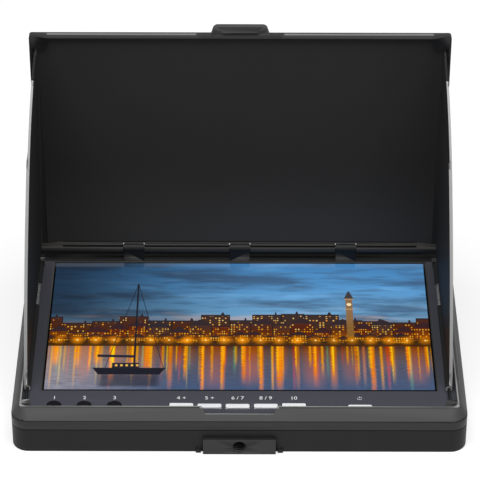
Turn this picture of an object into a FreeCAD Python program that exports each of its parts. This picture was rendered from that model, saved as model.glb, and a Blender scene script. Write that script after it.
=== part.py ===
import FreeCAD, Part
import Sketcher
import math
import os
import re

Vector = FreeCAD.Vector
Rotation = FreeCAD.Rotation
doc = FreeCAD.newDocument("monitor")

# Driving sizes in millimetres and degrees: name, value, meaning
SIZES = [
    ("active_width", 154.08, "width of the lit picture"),
    ("active_depth", 85.92, "depth of the lit picture"),
    ("side_border", 11.76, "from the picture to the case's side walls"),
    ("front_border", 21.2, "from the picture to the case's front wall, with the keys"),
    ("rear_border", 12.88, "from the picture to the case's rear wall, with the hinge"),
    ("case_corner", 6.5, "radius of the case's upright corners"),
    ("bottom_round", 0.3, "radius round the edge of the back"),
    ("split_height", 10.5, "height of the line where the two shells meet"),
    ("bezel_height", 14.6, "height of the bezel plane"),
    ("rim_rise", 3.5, "height of the rim above the bezel"),
    ("rim_side", 2.4, "how far the rim stands in from the side walls"),
    ("rim_end", 4.4, "how far the rim stands in from the front and rear walls"),
    ("rim_land", 1.45, "width of the flat top of the rim"),
    ("shell", 2.0, "wall of the two shells"),
    ("bezel_thick", 1.8, "thickness of the bezel plate"),
    ("seam_depth", 0.4, "depth of the shadow lines between the shells and under the bevel"),
    ("seam_height", 0.35, "height of those lines"),
    ("notch_half", 14.8, "half width of the rim's notch for the latch tab, at its mouth"),
    ("notch_reach", 2.7, "how far the notch reaches into the rim"),
    ("notch_slant", 1.5, "how much narrower each side of the notch is at its far end"),
    ("notch_land", 0.6, "width of the flat edge beyond the notch"),
    ("glass_border", 0.6, "black border of the glass round the picture"),
    ("glass_gap", 0.15, "gap round the glass in the bezel"),
    ("glass_thick", 1.4, "thickness of the display glass"),
    ("glass_sink", 0.5, "how far the glass lies under the bezel plane"),
    ("tray_side", 3.5, "metal tray beyond the glass at the sides"),
    ("tray_end", 5.0, "metal tray beyond the glass at the front and rear"),
    ("tray_height", 4.2, "height of the metal tray"),
    ("tray_wall", 0.5, "sheet of the metal tray"),
    ("lid_side_gap", 0.85, "gap from the lid's side to the recess wall"),
    ("lid_front_gap", 0.3, "gap from the closed lid's edge to the recess wall"),
    ("lid_thick", 3.0, "thickness of the lid"),
    ("lid_corner", 1.1, "radius of the lid's free corners"),
    ("lid_wall", 1.1, "width of the lid's edge wall"),
    ("lid_hollow", 1.8, "depth of the hollow inside the edge wall"),
    ("hinge_inset", 10.0, "from the case's rear wall to the lid's axis"),
    ("hinge_height", 5.7, "height of the lid's axis above the bezel"),
    ("hinge_radius", 2.0, "radius of the lid's barrel, which its front face meets"),
    ("hollow_start", 0.9, "from the lid's axis up to the foot of its hollow"),
    ("hinge_rod", 1.6, "diameter of the lid's rod"),
    ("hinge_play", 0.05, "running clearance of a pin in its bore"),
    ("knuckle_width", 8.3, "width of a knuckle of the frame"),
    ("knuckle_pitch", 44.5, "distance from one knuckle to the next"),
    ("knuckle_gap", 0.3, "gap beside a knuckle"),
    ("rod_half", 78.0, "half length of the lid's rod"),
    ("pad_width", 7.2, "width of the flat pad in each free corner of the lid"),
    ("pad_height", 5.8, "height of that pad"),
    ("edge_chamfer", 1.1, "chamfer along the lid's free edge"),
    ("channel_width", 2.4, "width of the channel behind a flap's rear edge"),
    ("channel_depth", 0.3, "depth of that channel"),
    ("groove_half", 74.2, "half length of the two grooves over the hinge"),
    ("groove_width", 0.6, "width of the upper groove"),
    ("groove_depth", 0.5, "depth of the upper groove"),
    ("groove_low", 1.52, "height of the lower groove, in the barrel, above the axis"),
    ("groove_low_width", 0.45, "width of the lower groove"),
    ("groove_low_floor", 0.6, "from the axis to the floor of the lower groove"),
    ("groove_high", 3.05, "height of the upper groove above the axis"),
    ("tab_half", 11.8, "half width of the latch tab at its root"),
    ("tab_tip_half", 10.4, "half width of the latch tab at its tip"),
    ("tab_reach", 3.8, "how far the latch tab stands out"),
    ("tab_thick", 2.4, "thickness of the latch tab"),
    ("tab_corner", 2.0, "radius of the latch tab's corners"),
    ("lip_half", 7.3, "half length of the thumb lip on the tab"),
    ("lip_size", 0.6, "height of the thumb lip"),
    ("pivot_left", 1.65, "from the recess's side wall to the left flap's pin"),
    ("pivot_right", 2.65, "from the recess's side wall to the right flap's pin"),
    ("pivot_height", 1.6, "height of a flap's pin above the bezel"),
    ("pin_size", 1.2, "diameter of a flap's pin"),
    ("barrel_radius", 1.3, "radius of a flap's barrel"),
    ("lean_left", 1.45, "lean of the standing left flap towards the screen"),
    ("lean_right", 1.15, "lean of the standing right flap towards the screen"),
    ("flap_foot", 0.3, "how far a flap's plate reaches below the middle of its pin"),
    ("flap_offset", 0.1, "from the middle of a flap's pin out to its inner face"),
    ("flap_thick", 1.25, "thickness of a flap"),
    ("flap_relief", 0.35, "how much thinner the flap's free end is"),
    ("flap_step", 82.0, "height at which the thinner end starts"),
    ("flap_gap", 0.4, "gap from the flaps to the lid"),
    ("flap_front", 13.65, "from the recess's front wall to a flap's front edge"),
    ("flap_height", 104.0, "height of a flap at its top"),
    ("flap_rear_drop", 1.5, "how much lower the flap's rear corner is"),
    ("crown_back", 7.6, "from the flap's rear edge to its highest point"),
    ("kink_back", 58.1, "from the flap's rear edge to the kink in its front edge"),
    ("kink_height", 72.5, "height of that kink"),
    ("front_bow", 195.0, "radius of the front edge under the kink"),
    ("crown_bow", 63.0, "radius of the front edge over the kink"),
    ("block_height", 3.0, "height of the frame's blocks that hold the pins"),
    ("block_margin", 1.6, "from a flap's pin to the free side of those blocks"),
    ("front_block_depth", 2.4, "depth of a front block"),
    ("front_block_inset", 2.2, "from the recess's front wall to a front block"),
    ("rear_block_depth", 2.6, "depth of a rear block"),
    ("rear_block_inset", 1.2, "from the flap's rear edge to a rear block"),
    ("barrel_gap", 0.4, "gap from a barrel to its block"),
    ("spring_back", 19.8, "from the flap's rear edge to the spring"),
    ("spring_length", 14.0, "length of a flap's spring"),
    ("spring_wire", 0.5, "wire of the spring"),
    ("spring_radius", 0.95, "radius of the spring to the middle of its wire"),
    ("spring_turns", 13.0, "turns of a spring"),
    ("key_width", 9.4, "width of a key"),
    ("key_depth", 2.4, "depth of a key"),
    ("key_rise", 0.6, "height of a key above the bezel"),
    ("key_travel", 0.5, "travel of a key"),
    ("key_spare", 0.4, "space left under a pressed key's stem"),
    ("key_gap", 0.2, "gap round a key in the bezel"),
    ("key_pitch", 11.0, "distance from one key to the next"),
    ("key_shift", -0.7, "middle of the row of five keys"),
    ("key_inset", 3.95, "from the recess's front wall to the keys"),
    ("key_arch", 0.5, "how much further back the outer keys stand"),
    ("power_across", 47.1, "place of the power key across the case"),
    ("power_inset", 3.6, "from the recess's front wall to the power key"),
    ("flange_border", 0.6, "border of the flange that keeps a key in"),
    ("flange_thick", 0.6, "thickness of that flange"),
    ("stem_size", 1.9, "diameter of a key's stem"),
    ("lamp_radius", 3.0, "radius of a lamp window"),
    ("lamp_side", 16.3, "from the case's side wall to the first lamp window"),
    ("lamp_pitch", 11.8, "distance from one lamp window to the next"),
    ("lamp_inset", 4.6, "from the recess's front wall to the lamp windows"),
    ("board_thick", 1.2, "thickness of the two circuit boards"),
    ("board_lift", 0.5, "gap under the main board"),
    ("board_margin", 7.0, "from the main board to the side walls"),
    ("board_depth", 37.0, "depth of the main board"),
    ("board_rear", 7.0, "from the main board to the rear wall"),
    ("cell_side", 3.54, "from a battery cell's side to the picture's side"),
    ("cell_front", 4.0, "from the tripod block to the battery cells"),
    ("cell_rear", 12.0, "from the battery cells to the main board"),
    ("cell_thick", 5.0, "thickness of a battery cell"),
    ("cell_space", 3.0, "space between the battery cells"),
    ("part_gap", 0.3, "small gap between neighbouring parts"),
    ("rib", 1.2, "thickness of the ribs round the battery cells"),
    ("button_board_height", 7.6, "height of the button board's underside"),
    ("button_board_depth", 9.5, "depth of the button board"),
    ("switch_size", 4.4, "side of a tactile switch"),
    ("switch_height", 2.2, "height of a tactile switch"),
    ("switch_well", 0.7, "height of the floor in a switch, where a key's stem stands in"),
    ("screw_side", 4.9, "from the case's side walls to its screws"),
    ("screw_front", 8.0, "from the case's front wall to its front screws"),
    ("screw_middle", 2.0, "middle screws from the middle"),
    ("screw_rear", 6.0, "from the case's rear wall to its rear screws"),
    ("screw_shank", 2.2, "diameter of a case screw"),
    ("screw_head", 4.2, "diameter of its head"),
    ("screw_sink", 1.6, "depth of its head"),
    ("screw_bite", 1.2, "how far the small screws reach into the rear shell"),
    ("board_screw", 1.6, "diameter of a board screw"),
    ("board_screw_head", 3.0, "diameter of its head"),
    ("board_screw_high", 1.0, "height of its head"),
    ("board_post", 4.0, "diameter of the posts under the main board"),
    ("button_post", 3.6, "diameter of the posts over the button board"),
    ("ear_screw", 2.0, "diameter of the tripod block's screws"),
    ("ear_screw_head", 3.6, "diameter of their heads"),
    ("ear_screw_high", 1.3, "height of their heads"),
    ("boss_radius", 2.5, "radius of the bosses round the case screws"),
    ("boss_height", 6.0, "height where the bosses of the two shells meet"),
    ("block_half", 14.2, "half width of the tripod block"),
    ("block_high", 7.3, "height of the tripod block"),
    ("block_proud", 1.6, "how far the tripod block stands out"),
    ("block_deep", 10.0, "how far the tripod block reaches in from the wall"),
    ("stud_gap", 0.8, "from the tripod block to the stud on each side of it"),
    ("stud_width", 2.0, "width of such a stud"),
    ("stud_proud", 0.9, "how far a stud stands out"),
    ("stud_high", 1.4, "height of a stud"),
    ("thread_core", 5.35, "core diameter of the tripod thread"),
    ("thread_depth", 9.0, "depth of the threaded hole"),
    ("ear_width", 5.8, "width of the tripod block's ears"),
    ("ear_thick", 1.5, "thickness of those ears"),
    ("antenna_across", 58.0, "antenna sockets from the middle"),
    ("antenna_height", 5.6, "height of the antenna sockets"),
    ("antenna_thread", 6.35, "thread of the antenna sockets"),
    ("antenna_core", 6.0, "core of that thread, in the wall and the nut"),
    ("antenna_length", 9.5, "how far an antenna socket stands out"),
    ("antenna_bore", 4.6, "bore of an antenna socket"),
    ("antenna_foot", 3.4, "length of its foot inside the wall"),
    ("nut_width", 8.0, "width of its nut across flats"),
    ("nut_thick", 2.0, "thickness of its nut"),
    ("jack_width", 6.4, "width of a jack"),
    ("jack_height", 4.5, "height of a jack"),
    ("jack_length", 11.5, "length of a jack"),
    ("audio_bore", 3.5, "bore of an audio jack"),
    ("power_bore", 4.2, "bore of the power jack"),
    ("power_pin", 1.3, "centre pin of the power jack"),
    ("jack_near", 34.0, "from the case's rear wall to the nearer jacks"),
    ("jack_far", 21.0, "from the case's rear wall to the farther jack and the card"),
    ("card_length", 15.0, "length of the memory card socket"),
    ("card_room", 13.5, "room for the card in it"),
    ("card_width", 14.5, "width of the memory card socket"),
    ("card_height", 1.9, "height of the memory card socket"),
    ("card_slot_width", 11.6, "width of the card slot"),
    ("card_slot_height", 1.3, "height of the card slot"),
    ("receiver_width", 28.0, "width of a receiver module"),
    ("receiver_depth", 23.0, "depth of a receiver module"),
    ("receiver_height", 3.0, "height of a receiver module"),
    ("receiver_across", 42.0, "receiver modules from the middle"),
    ("lead_size", 1.2, "diameter of a coaxial lead"),
    ("ribbon_width", 26.0, "width of the display ribbon"),
    ("ribbon_thick", 0.3, "thickness of the display ribbon"),
    ("vent_length", 16.0, "length of a vent slot"),
    ("vent_width", 1.6, "width of a vent slot"),
    ("vent_pitch", 4.0, "distance from one vent slot to the next"),
    ("vent_across", 40.0, "middle of each group of vents from the middle"),
    ("vent_rear", 28.0, "from the case's rear wall to the middle of the vents"),
]
VENTS = 6
# Chips on the main board: name, then the sizes that CHIP_SIZES lists.
# The place across the board counts from the middle, or from the side wall for those by the walls.
CHIPS = [
    ("processor", 0, 22, 13, 13, 1.3),
    ("memory", -17, 24, 9, 9, 1.0),
    ("decoder", 17, 24, 10, 7, 1.1),
    ("connector", -2, 10, 16, 5, 1.6),
    ("coil", 22.8, 10, 7, 7, 2.6),
    ("charger", 22.8, 10, 8, 6, 2.2),
]
BY_THE_WALLS = {"coil": 1, "charger": -1}
CHIP_SIZES = [
    ("across", "place across the board"),
    ("rear", "place from the board's rear edge"),
    ("width", "width"),
    ("depth", "depth"),
    ("height", "height"),
]
for chip, *values in CHIPS:
    for (tag, meaning), value in zip(CHIP_SIZES, values):
        SIZES.append((f"{chip}_{tag}", value, f"{meaning} of the {chip}"))

sheet = doc.addObject("Spreadsheet::Sheet", "Sizes")
for row, (name, value, meaning) in enumerate(SIZES, 1):
    sheet.set(f"A{row}", meaning)
    sheet.set(f"B{row}", str(value))
    sheet.setAlias(f"B{row}", name)
doc.recompute()
NAMES = {name for name, value, meaning in SIZES}
PIECES = []

# Places that several pieces share, as formulas on the sheet
CASE_WIDTH = "(active_width+2*side_border)"
CASE_DEPTH = "(active_depth+front_border+rear_border)"
HALF = f"({CASE_WIDTH}/2)"
FRONT = f"({CASE_DEPTH}/2)"
INNER_HALF = f"({HALF}-shell)"
INNER_FRONT = f"({FRONT}-shell)"
RIM_TOP = "(bezel_height+rim_rise)"
RECESS_HALF = f"({HALF}-rim_side-rim_land)"
RECESS_FRONT = f"({FRONT}-rim_end-rim_land)"
PLATE_LOW = "(bezel_height-bezel_thick)"
AXIS_Y = f"({FRONT}-hinge_inset)"
AXIS_Z = "(bezel_height+hinge_height)"
FACE_Y = f"({AXIS_Y}-hinge_radius)"
BACK_Y = f"({AXIS_Y}-hinge_radius+lid_thick)"
LID_HALF = f"({RECESS_HALF}-lid_side_gap)"
LID_TOP = f"({AXIS_Z}+{AXIS_Y}+{RECESS_FRONT}-lid_front_gap)"
SIDES = {1: "right", -1: "left"}
PIVOT_X = {side: f"({RECESS_HALF}-pivot_{name})" for side, name in SIDES.items()}
PIVOT_Z = "(bezel_height+pivot_height)"
FLAP_REAR = f"({FACE_Y}-flap_gap)"
FLAP_FRONT = f"(flap_front-{RECESS_FRONT})"
REAR_BLOCK = f"({FLAP_REAR}-rear_block_inset-rear_block_depth)"
GLASS_FRONT = f"(front_border-glass_border-{FRONT})"
GLASS_REAR = f"({GLASS_FRONT}+active_depth+2*glass_border)"
GLASS_HALF = "(active_width/2+glass_border)"
GLASS_TOP = "(bezel_height-glass_sink)"
TRAY_TOP = "(bezel_height-glass_sink-glass_thick-0.1)"
TRAY_LOW = f"({TRAY_TOP}-tray_height)"
BOARD_LOW = "(shell+board_lift)"
BOARD_TOP = "(shell+board_lift+board_thick)"
BOARD_REAR = f"({FRONT}-board_rear)"
BUTTON_TOP = "(button_board_height+board_thick)"
FLANGE_TOP = f"({PLATE_LOW}-0.1)"
BLOCK_BACK = f"(block_deep-{FRONT})"


def formula(text):
    """A formula in the sheet's words, as an expression on its cells."""
    return re.sub(r"[a-z]\w*", lambda word: f"Sizes.{word[0]}" if word[0] in NAMES else word[0], text)


def bind(item, prop, text):
    """Tie a size of an object to the sheet."""
    item.setExpression(prop, formula(text))


def size(name):
    """A value of the sheet, for shapes that are worked out in code."""
    return float(sheet.get(name))


def half_depth():
    """Half the case's depth, for shapes that are worked out in code."""
    return (size("active_depth") + size("front_border") + size("rear_border")) / 2


def half_width():
    """Half the case's width."""
    return size("active_width") / 2 + size("side_border")


def flap_rear():
    """Place of the flaps' rear edges along the case."""
    return half_depth() - size("hinge_inset") - size("hinge_radius") - size("flap_gap")


def move(item, x, y, z, turn=None):
    """Tie an object's place to the sheet, after a fixed turn."""
    if turn:
        item.Placement = FreeCAD.Placement(Vector(), turn)
    for axis, text in zip("xyz", (x, y, z)):
        bind(item, f"Placement.Base.{axis}", text)
    return item


def either(side, near, far):
    """A stretch from near to far of the middle plane, on the side given as 1 or -1."""
    return (near, far) if side > 0 else (f"-({far})", f"-({near})")


def across(half):
    """A stretch centred on the middle plane."""
    return (f"-({half})", half)


def about(middle, length):
    """A stretch centred on a place."""
    return (f"({middle})-({length})/2", f"({middle})+({length})/2")


def block(x, y, z):
    """A box from its three stretches."""
    item = doc.addObject("Part::Box", "Block")
    for prop, (low, high) in zip(("Length", "Width", "Height"), (x, y, z)):
        bind(item, prop, f"({high})-({low})")
    return move(item, x[0], y[0], z[0])


TURNS = {
    "x": Rotation(Vector(0, 1, 0), 90),
    "y": Rotation(Vector(1, 0, 0), -90),
    "z": Rotation(),
}


def bar(axis, diameter, stretch, first, second):
    """A round bar along an axis; first and second are its middle on the two other axes."""
    item = doc.addObject("Part::Cylinder", "Bar")
    bind(item, "Radius", f"({diameter})/2")
    bind(item, "Height", f"({stretch[1]})-({stretch[0]})")
    place = {"x": (stretch[0], first, second), "y": (first, stretch[0], second)}
    return move(item, *place.get(axis, (first, second, stretch[0])), TURNS[axis])


def hexagon(width, stretch, x, z):
    """A six-sided bar along Y, given by its width across flats."""
    item = doc.addObject("Part::Prism", "Hexagon")
    item.Polygon = 6
    bind(item, "Circumradius", f"({width})/sqrt(3)")
    bind(item, "Height", f"({stretch[1]})-({stretch[0]})")
    return move(item, x, stretch[0], z, TURNS["y"])


def taper(low, high, z):
    """A block whose foot and top are different rectangles, each given as its x and y stretch."""
    item = doc.addObject("Part::Wedge", "Taper")
    bind(item, "Ymin", z[0])
    bind(item, "Ymax", z[1])
    for tag, (x, y) in (("", low), ("2", high)):
        bind(item, f"X{tag}min", x[0])
        bind(item, f"X{tag}max", x[1])
        bind(item, f"Z{tag}min", f"-({y[1]})")
        bind(item, f"Z{tag}max", f"-({y[0]})")
    return move(item, "0", "0", "0", Rotation(Vector(1, 0, 0), 90))


def slanted(far, near, z):
    """A block with slanted sides, given by its half width and place at its far and near ends."""
    item = doc.addObject("Part::Wedge", "Slanted")
    bind(item, "Ymin", far[1])
    bind(item, "Ymax", near[1])
    for tag, half in (("", far[0]), ("2", near[0])):
        bind(item, f"X{tag}min", f"-({half})")
        bind(item, f"X{tag}max", half)
        bind(item, f"Z{tag}min", z[0])
        bind(item, f"Z{tag}max", z[1])
    return item


def fuse(*items):
    """The union of several objects."""
    item = doc.addObject("Part::MultiFuse", "Union")
    item.Shapes = list(items)
    return item


def group(*items):
    """Several separate solids as one object."""
    item = doc.addObject("Part::Compound", "Group")
    item.Links = list(items)
    return item


def cut(base, *tools):
    """An object without the space of the tools."""
    item = doc.addObject("Part::Cut", "Cut")
    item.Base = base
    item.Tool = tools[0] if len(tools) == 1 else fuse(*tools)
    return item


def piece(item, label):
    """Name a finished sub-part."""
    item.Label = label
    PIECES.append(item)
    return item


def origin_plane(body, role):
    """One of a body's own origin planes."""
    return next(item for item in body.Origin.OriginFeatures if item.Role == role)


def rounded_outline(sketch, width, depth, radius):
    """Draw a rounded rectangle round the origin, with its sizes tied to the sheet."""
    w, d, r = half_width(), half_depth(), size("case_corner")
    sides = [
        (Vector(r - w, -d), Vector(w - r, -d), Vector(w - r, r - d), -90),
        (Vector(w, r - d), Vector(w, d - r), Vector(w - r, d - r), 0),
        (Vector(w - r, d), Vector(r - w, d), Vector(r - w, d - r), 90),
        (Vector(-w, d - r), Vector(-w, r - d), Vector(r - w, r - d), 180),
    ]
    for start, end, centre, angle in sides:
        circle = Part.Circle(centre, Vector(0, 0, 1), r)
        sketch.addGeometry(Part.LineSegment(start, end))
        sketch.addGeometry(Part.ArcOfCircle(circle, math.radians(angle), math.radians(angle + 90)))
    for line in (0, 2, 4, 6):
        arc = line + 1
        sketch.addConstraint(Sketcher.Constraint("Tangent", line, 2, arc, 1))
        sketch.addConstraint(Sketcher.Constraint("Tangent", arc, 2, (line + 2) % 8, 1))
        sketch.addConstraint(Sketcher.Constraint("Vertical" if line in (2, 6) else "Horizontal", line))
    for arc in (3, 5, 7):
        sketch.addConstraint(Sketcher.Constraint("Equal", 1, arc))
    sketch.addConstraint(Sketcher.Constraint("Symmetric", 1, 3, 5, 3, -1, 1))
    measures = [
        ("width", ("DistanceX", 6, 1, 2, 1, 2 * w), width),
        ("depth", ("DistanceY", 0, 1, 4, 1, 2 * d), depth),
        ("radius", ("Radius", 1, r), radius),
    ]
    for name, values, text in measures:
        index = sketch.addConstraint(Sketcher.Constraint(*values))
        sketch.renameConstraint(index, name)
        bind(sketch, f"Constraints.{name}", text)


def rounded_body(name, width, depth, radius, low, high):
    """A body with one pad: a rounded rectangle from low to high."""
    body = doc.addObject("PartDesign::Body", name)
    sketch = body.newObject("Sketcher::SketchObject", f"{name}Outline")
    sketch.AttachmentSupport = [(origin_plane(body, "XY_Plane"), "")]
    sketch.MapMode = "FlatFace"
    rounded_outline(sketch, width, depth, radius)
    pad = body.newObject("PartDesign::Pad", f"{name}Pad")
    pad.Profile = sketch
    bind(pad, "Length", f"({high})-({low})")
    bind(body, "Placement.Base.z", low)
    doc.recompute()
    return body


def round_edges(body, name, radius, wanted, kind="Fillet"):
    """Add a fillet or chamfer to a body on the edges that a test picks by their box."""
    base = body.Tip
    edges = [f"Edge{i}" for i, edge in enumerate(base.Shape.Edges, 1) if wanted(edge.BoundBox)]
    feature = body.newObject(f"PartDesign::{kind}", name)
    feature.Base = (base, edges)
    bind(feature, "Radius" if kind == "Fillet" else "Size", radius)
    doc.recompute()
    return body


# Places of the fasteners and of the pieces on the boards
SCREWS = [
    (f"{side}*({HALF}-screw_side)", y)
    for side in (1, -1)
    for y in (f"(screw_front-{FRONT})", "screw_middle", f"({FRONT}-screw_rear)")
]
BOARD_SCREWS = [
    (f"{side}*({INNER_HALF}-board_margin-4)", f"({BOARD_REAR}-{inset})")
    for side in (1, -1)
    for inset in ("4", "(board_depth-4)")
]
LAMP_FIRST = f"(lamp_side-{HALF})"
BUTTON_SCREWS = [f"({LAMP_FIRST}-6.5)", f"({LAMP_FIRST}+3*lamp_pitch)", "(key_shift+3.2*key_pitch)"]
CELL_FRONT = f"({BLOCK_BACK}+cell_front)"
CELL_DEPTH = f"({BOARD_REAR}-board_depth-cell_rear-{CELL_FRONT})"
CELL_WIDTH = "((active_width-cell_space)/2-cell_side)"
JACK_NEAR = f"({FRONT}-jack_near)"
JACK_FAR = f"({FRONT}-jack_far)"
VENT_Y = f"({FRONT}-vent_rear)"
JACK_Z = f"({BOARD_TOP}+jack_height/2)"
EAR_SCREW_X = "{}*(block_half+ear_width/2)"
EAR_SCREW_Y = f"({BLOCK_BACK}-4)"
KEY_X = [f"(key_shift+{count - 2}*key_pitch)" for count in range(5)]
KEY_Y = [f"(key_inset+key_arch*{(count - 2) ** 2 / 4}-{RECESS_FRONT})" for count in range(5)]
KEY_NAMES = ["far_left", "left", "middle", "right", "far_right"]
KEYS = [(f"key_{name}", x, y) for name, x, y in zip(KEY_NAMES, KEY_X, KEY_Y)]
KEYS.append(("key_power", "power_across", f"(power_inset-{RECESS_FRONT})"))
LAMPS = [f"({LAMP_FIRST}+{count}*lamp_pitch)" for count in range(3)]
LAMP_Y = f"(lamp_inset-{RECESS_FRONT})"
BUTTON_BOARD_Y = (f"(1.6-{INNER_FRONT})", f"(1.6-{INNER_FRONT}+button_board_depth)")
BUTTON_SCREW_Y = f"({BUTTON_BOARD_Y[0]}+2.2)"
PIN_FRONT = f"(front_block_inset+0.8-{RECESS_FRONT})"
PIN_REAR = f"({REAR_BLOCK}+rear_block_depth-0.6)"
SPRING_FRONT = f"({FLAP_REAR}-spring_back-spring_length)"
SPRING_REAR = f"({FLAP_REAR}-spring_back)"
KNUCKLES = [f"{count}*knuckle_pitch" for count in (-1, 0, 1)]


def ring(width, depth, radius, low, high, margin):
    """The space outside a rounded rectangle, out to a margin round the case."""
    outer = block(across(f"{HALF}+{margin}"), across(f"{FRONT}+{margin}"), (low, high))
    return cut(outer, rounded_body("RingCore", width, depth, radius, f"{low}-1", f"{high}+1"))


# Rear shell: the back of the monitor, on which it lies
def make_rear_case():
    outer = rounded_body("RearOuter", CASE_WIDTH, CASE_DEPTH, "case_corner", "0", "split_height")
    round_edges(outer, "BottomRound", "bottom_round", lambda box: box.ZMax < 0.01)
    hollow = rounded_body("RearHollow", f"{CASE_WIDTH}-2*shell", f"{CASE_DEPTH}-2*shell",
                          "case_corner-shell", "shell", "split_height+1")
    added = [bar("z", "2*boss_radius", ("shell", "boss_height"), x, y) for x, y in SCREWS]
    added += [bar("z", "board_post", ("shell", BOARD_LOW), x, y) for x, y in BOARD_SCREWS]
    standing = ("shell", "shell+cell_thick/2")
    for side in (1, -1):
        edge = f"cell_space/2+{CELL_WIDTH}+part_gap"
        x = either(side, edge, f"{edge}+rib")
        added.append(block(x, (CELL_FRONT, f"{CELL_FRONT}+{CELL_DEPTH}"), standing))
        x = either(side, "block_half+stud_gap", "block_half+stud_gap+stud_width")
        added.append(block(x, (f"-{FRONT}-stud_proud", f"0.5-{FRONT}"), ("0.2", "0.2+stud_high")))
    for place in (f"{CELL_FRONT}-part_gap-rib", f"{CELL_FRONT}+{CELL_DEPTH}+part_gap"):
        added.append(block(across(f"{CELL_WIDTH}/2"), (place, f"{place}+rib"), standing))
    tools = [block(across("block_half"), (f"-{FRONT}-1", BLOCK_BACK), ("-1", "block_high"))]
    for x, y in SCREWS:
        tools.append(bar("z", "screw_shank+2*part_gap", ("0", "boss_height"), x, y))
        tools.append(bar("z", "screw_head+2*part_gap", ("-1", "screw_sink+part_gap"), x, y))
    for x, y in BOARD_SCREWS:
        tools.append(bar("z", "board_screw", ("shell-screw_bite", BOARD_LOW), x, y))
    for side in (1, -1):
        for count in range(VENTS):
            x = f"{side}*vent_across+{count - (VENTS - 1) / 2}*vent_pitch"
            tools.append(block(about(x, "vent_width"), about(VENT_Y, "vent_length"), ("-1", "shell")))
        hole = (INNER_FRONT, f"{FRONT}+1")
        tools.append(bar("y", "antenna_thread+0.1", hole, f"{side}*antenna_across", "antenna_height"))
        hole = ("shell-screw_bite", "shell")
        tools.append(bar("z", "ear_screw", hole, EAR_SCREW_X.format(side), EAR_SCREW_Y))
    through = (f"{INNER_HALF}-0.1", f"{HALF}+1")
    for y in (JACK_NEAR, JACK_FAR):
        tools.append(bar("x", "audio_bore", either(-1, *through), y, JACK_Z))
    tools.append(bar("x", "power_bore+0.6", either(1, *through), JACK_NEAR, JACK_Z))
    slot = (f"{BOARD_TOP}+0.3", f"{BOARD_TOP}+0.3+card_slot_height")
    tools.append(block(either(1, *through), about(JACK_FAR, "card_slot_width"), slot))
    return piece(cut(fuse(cut(outer, hollow), *added), *tools), "rear_case")


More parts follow.
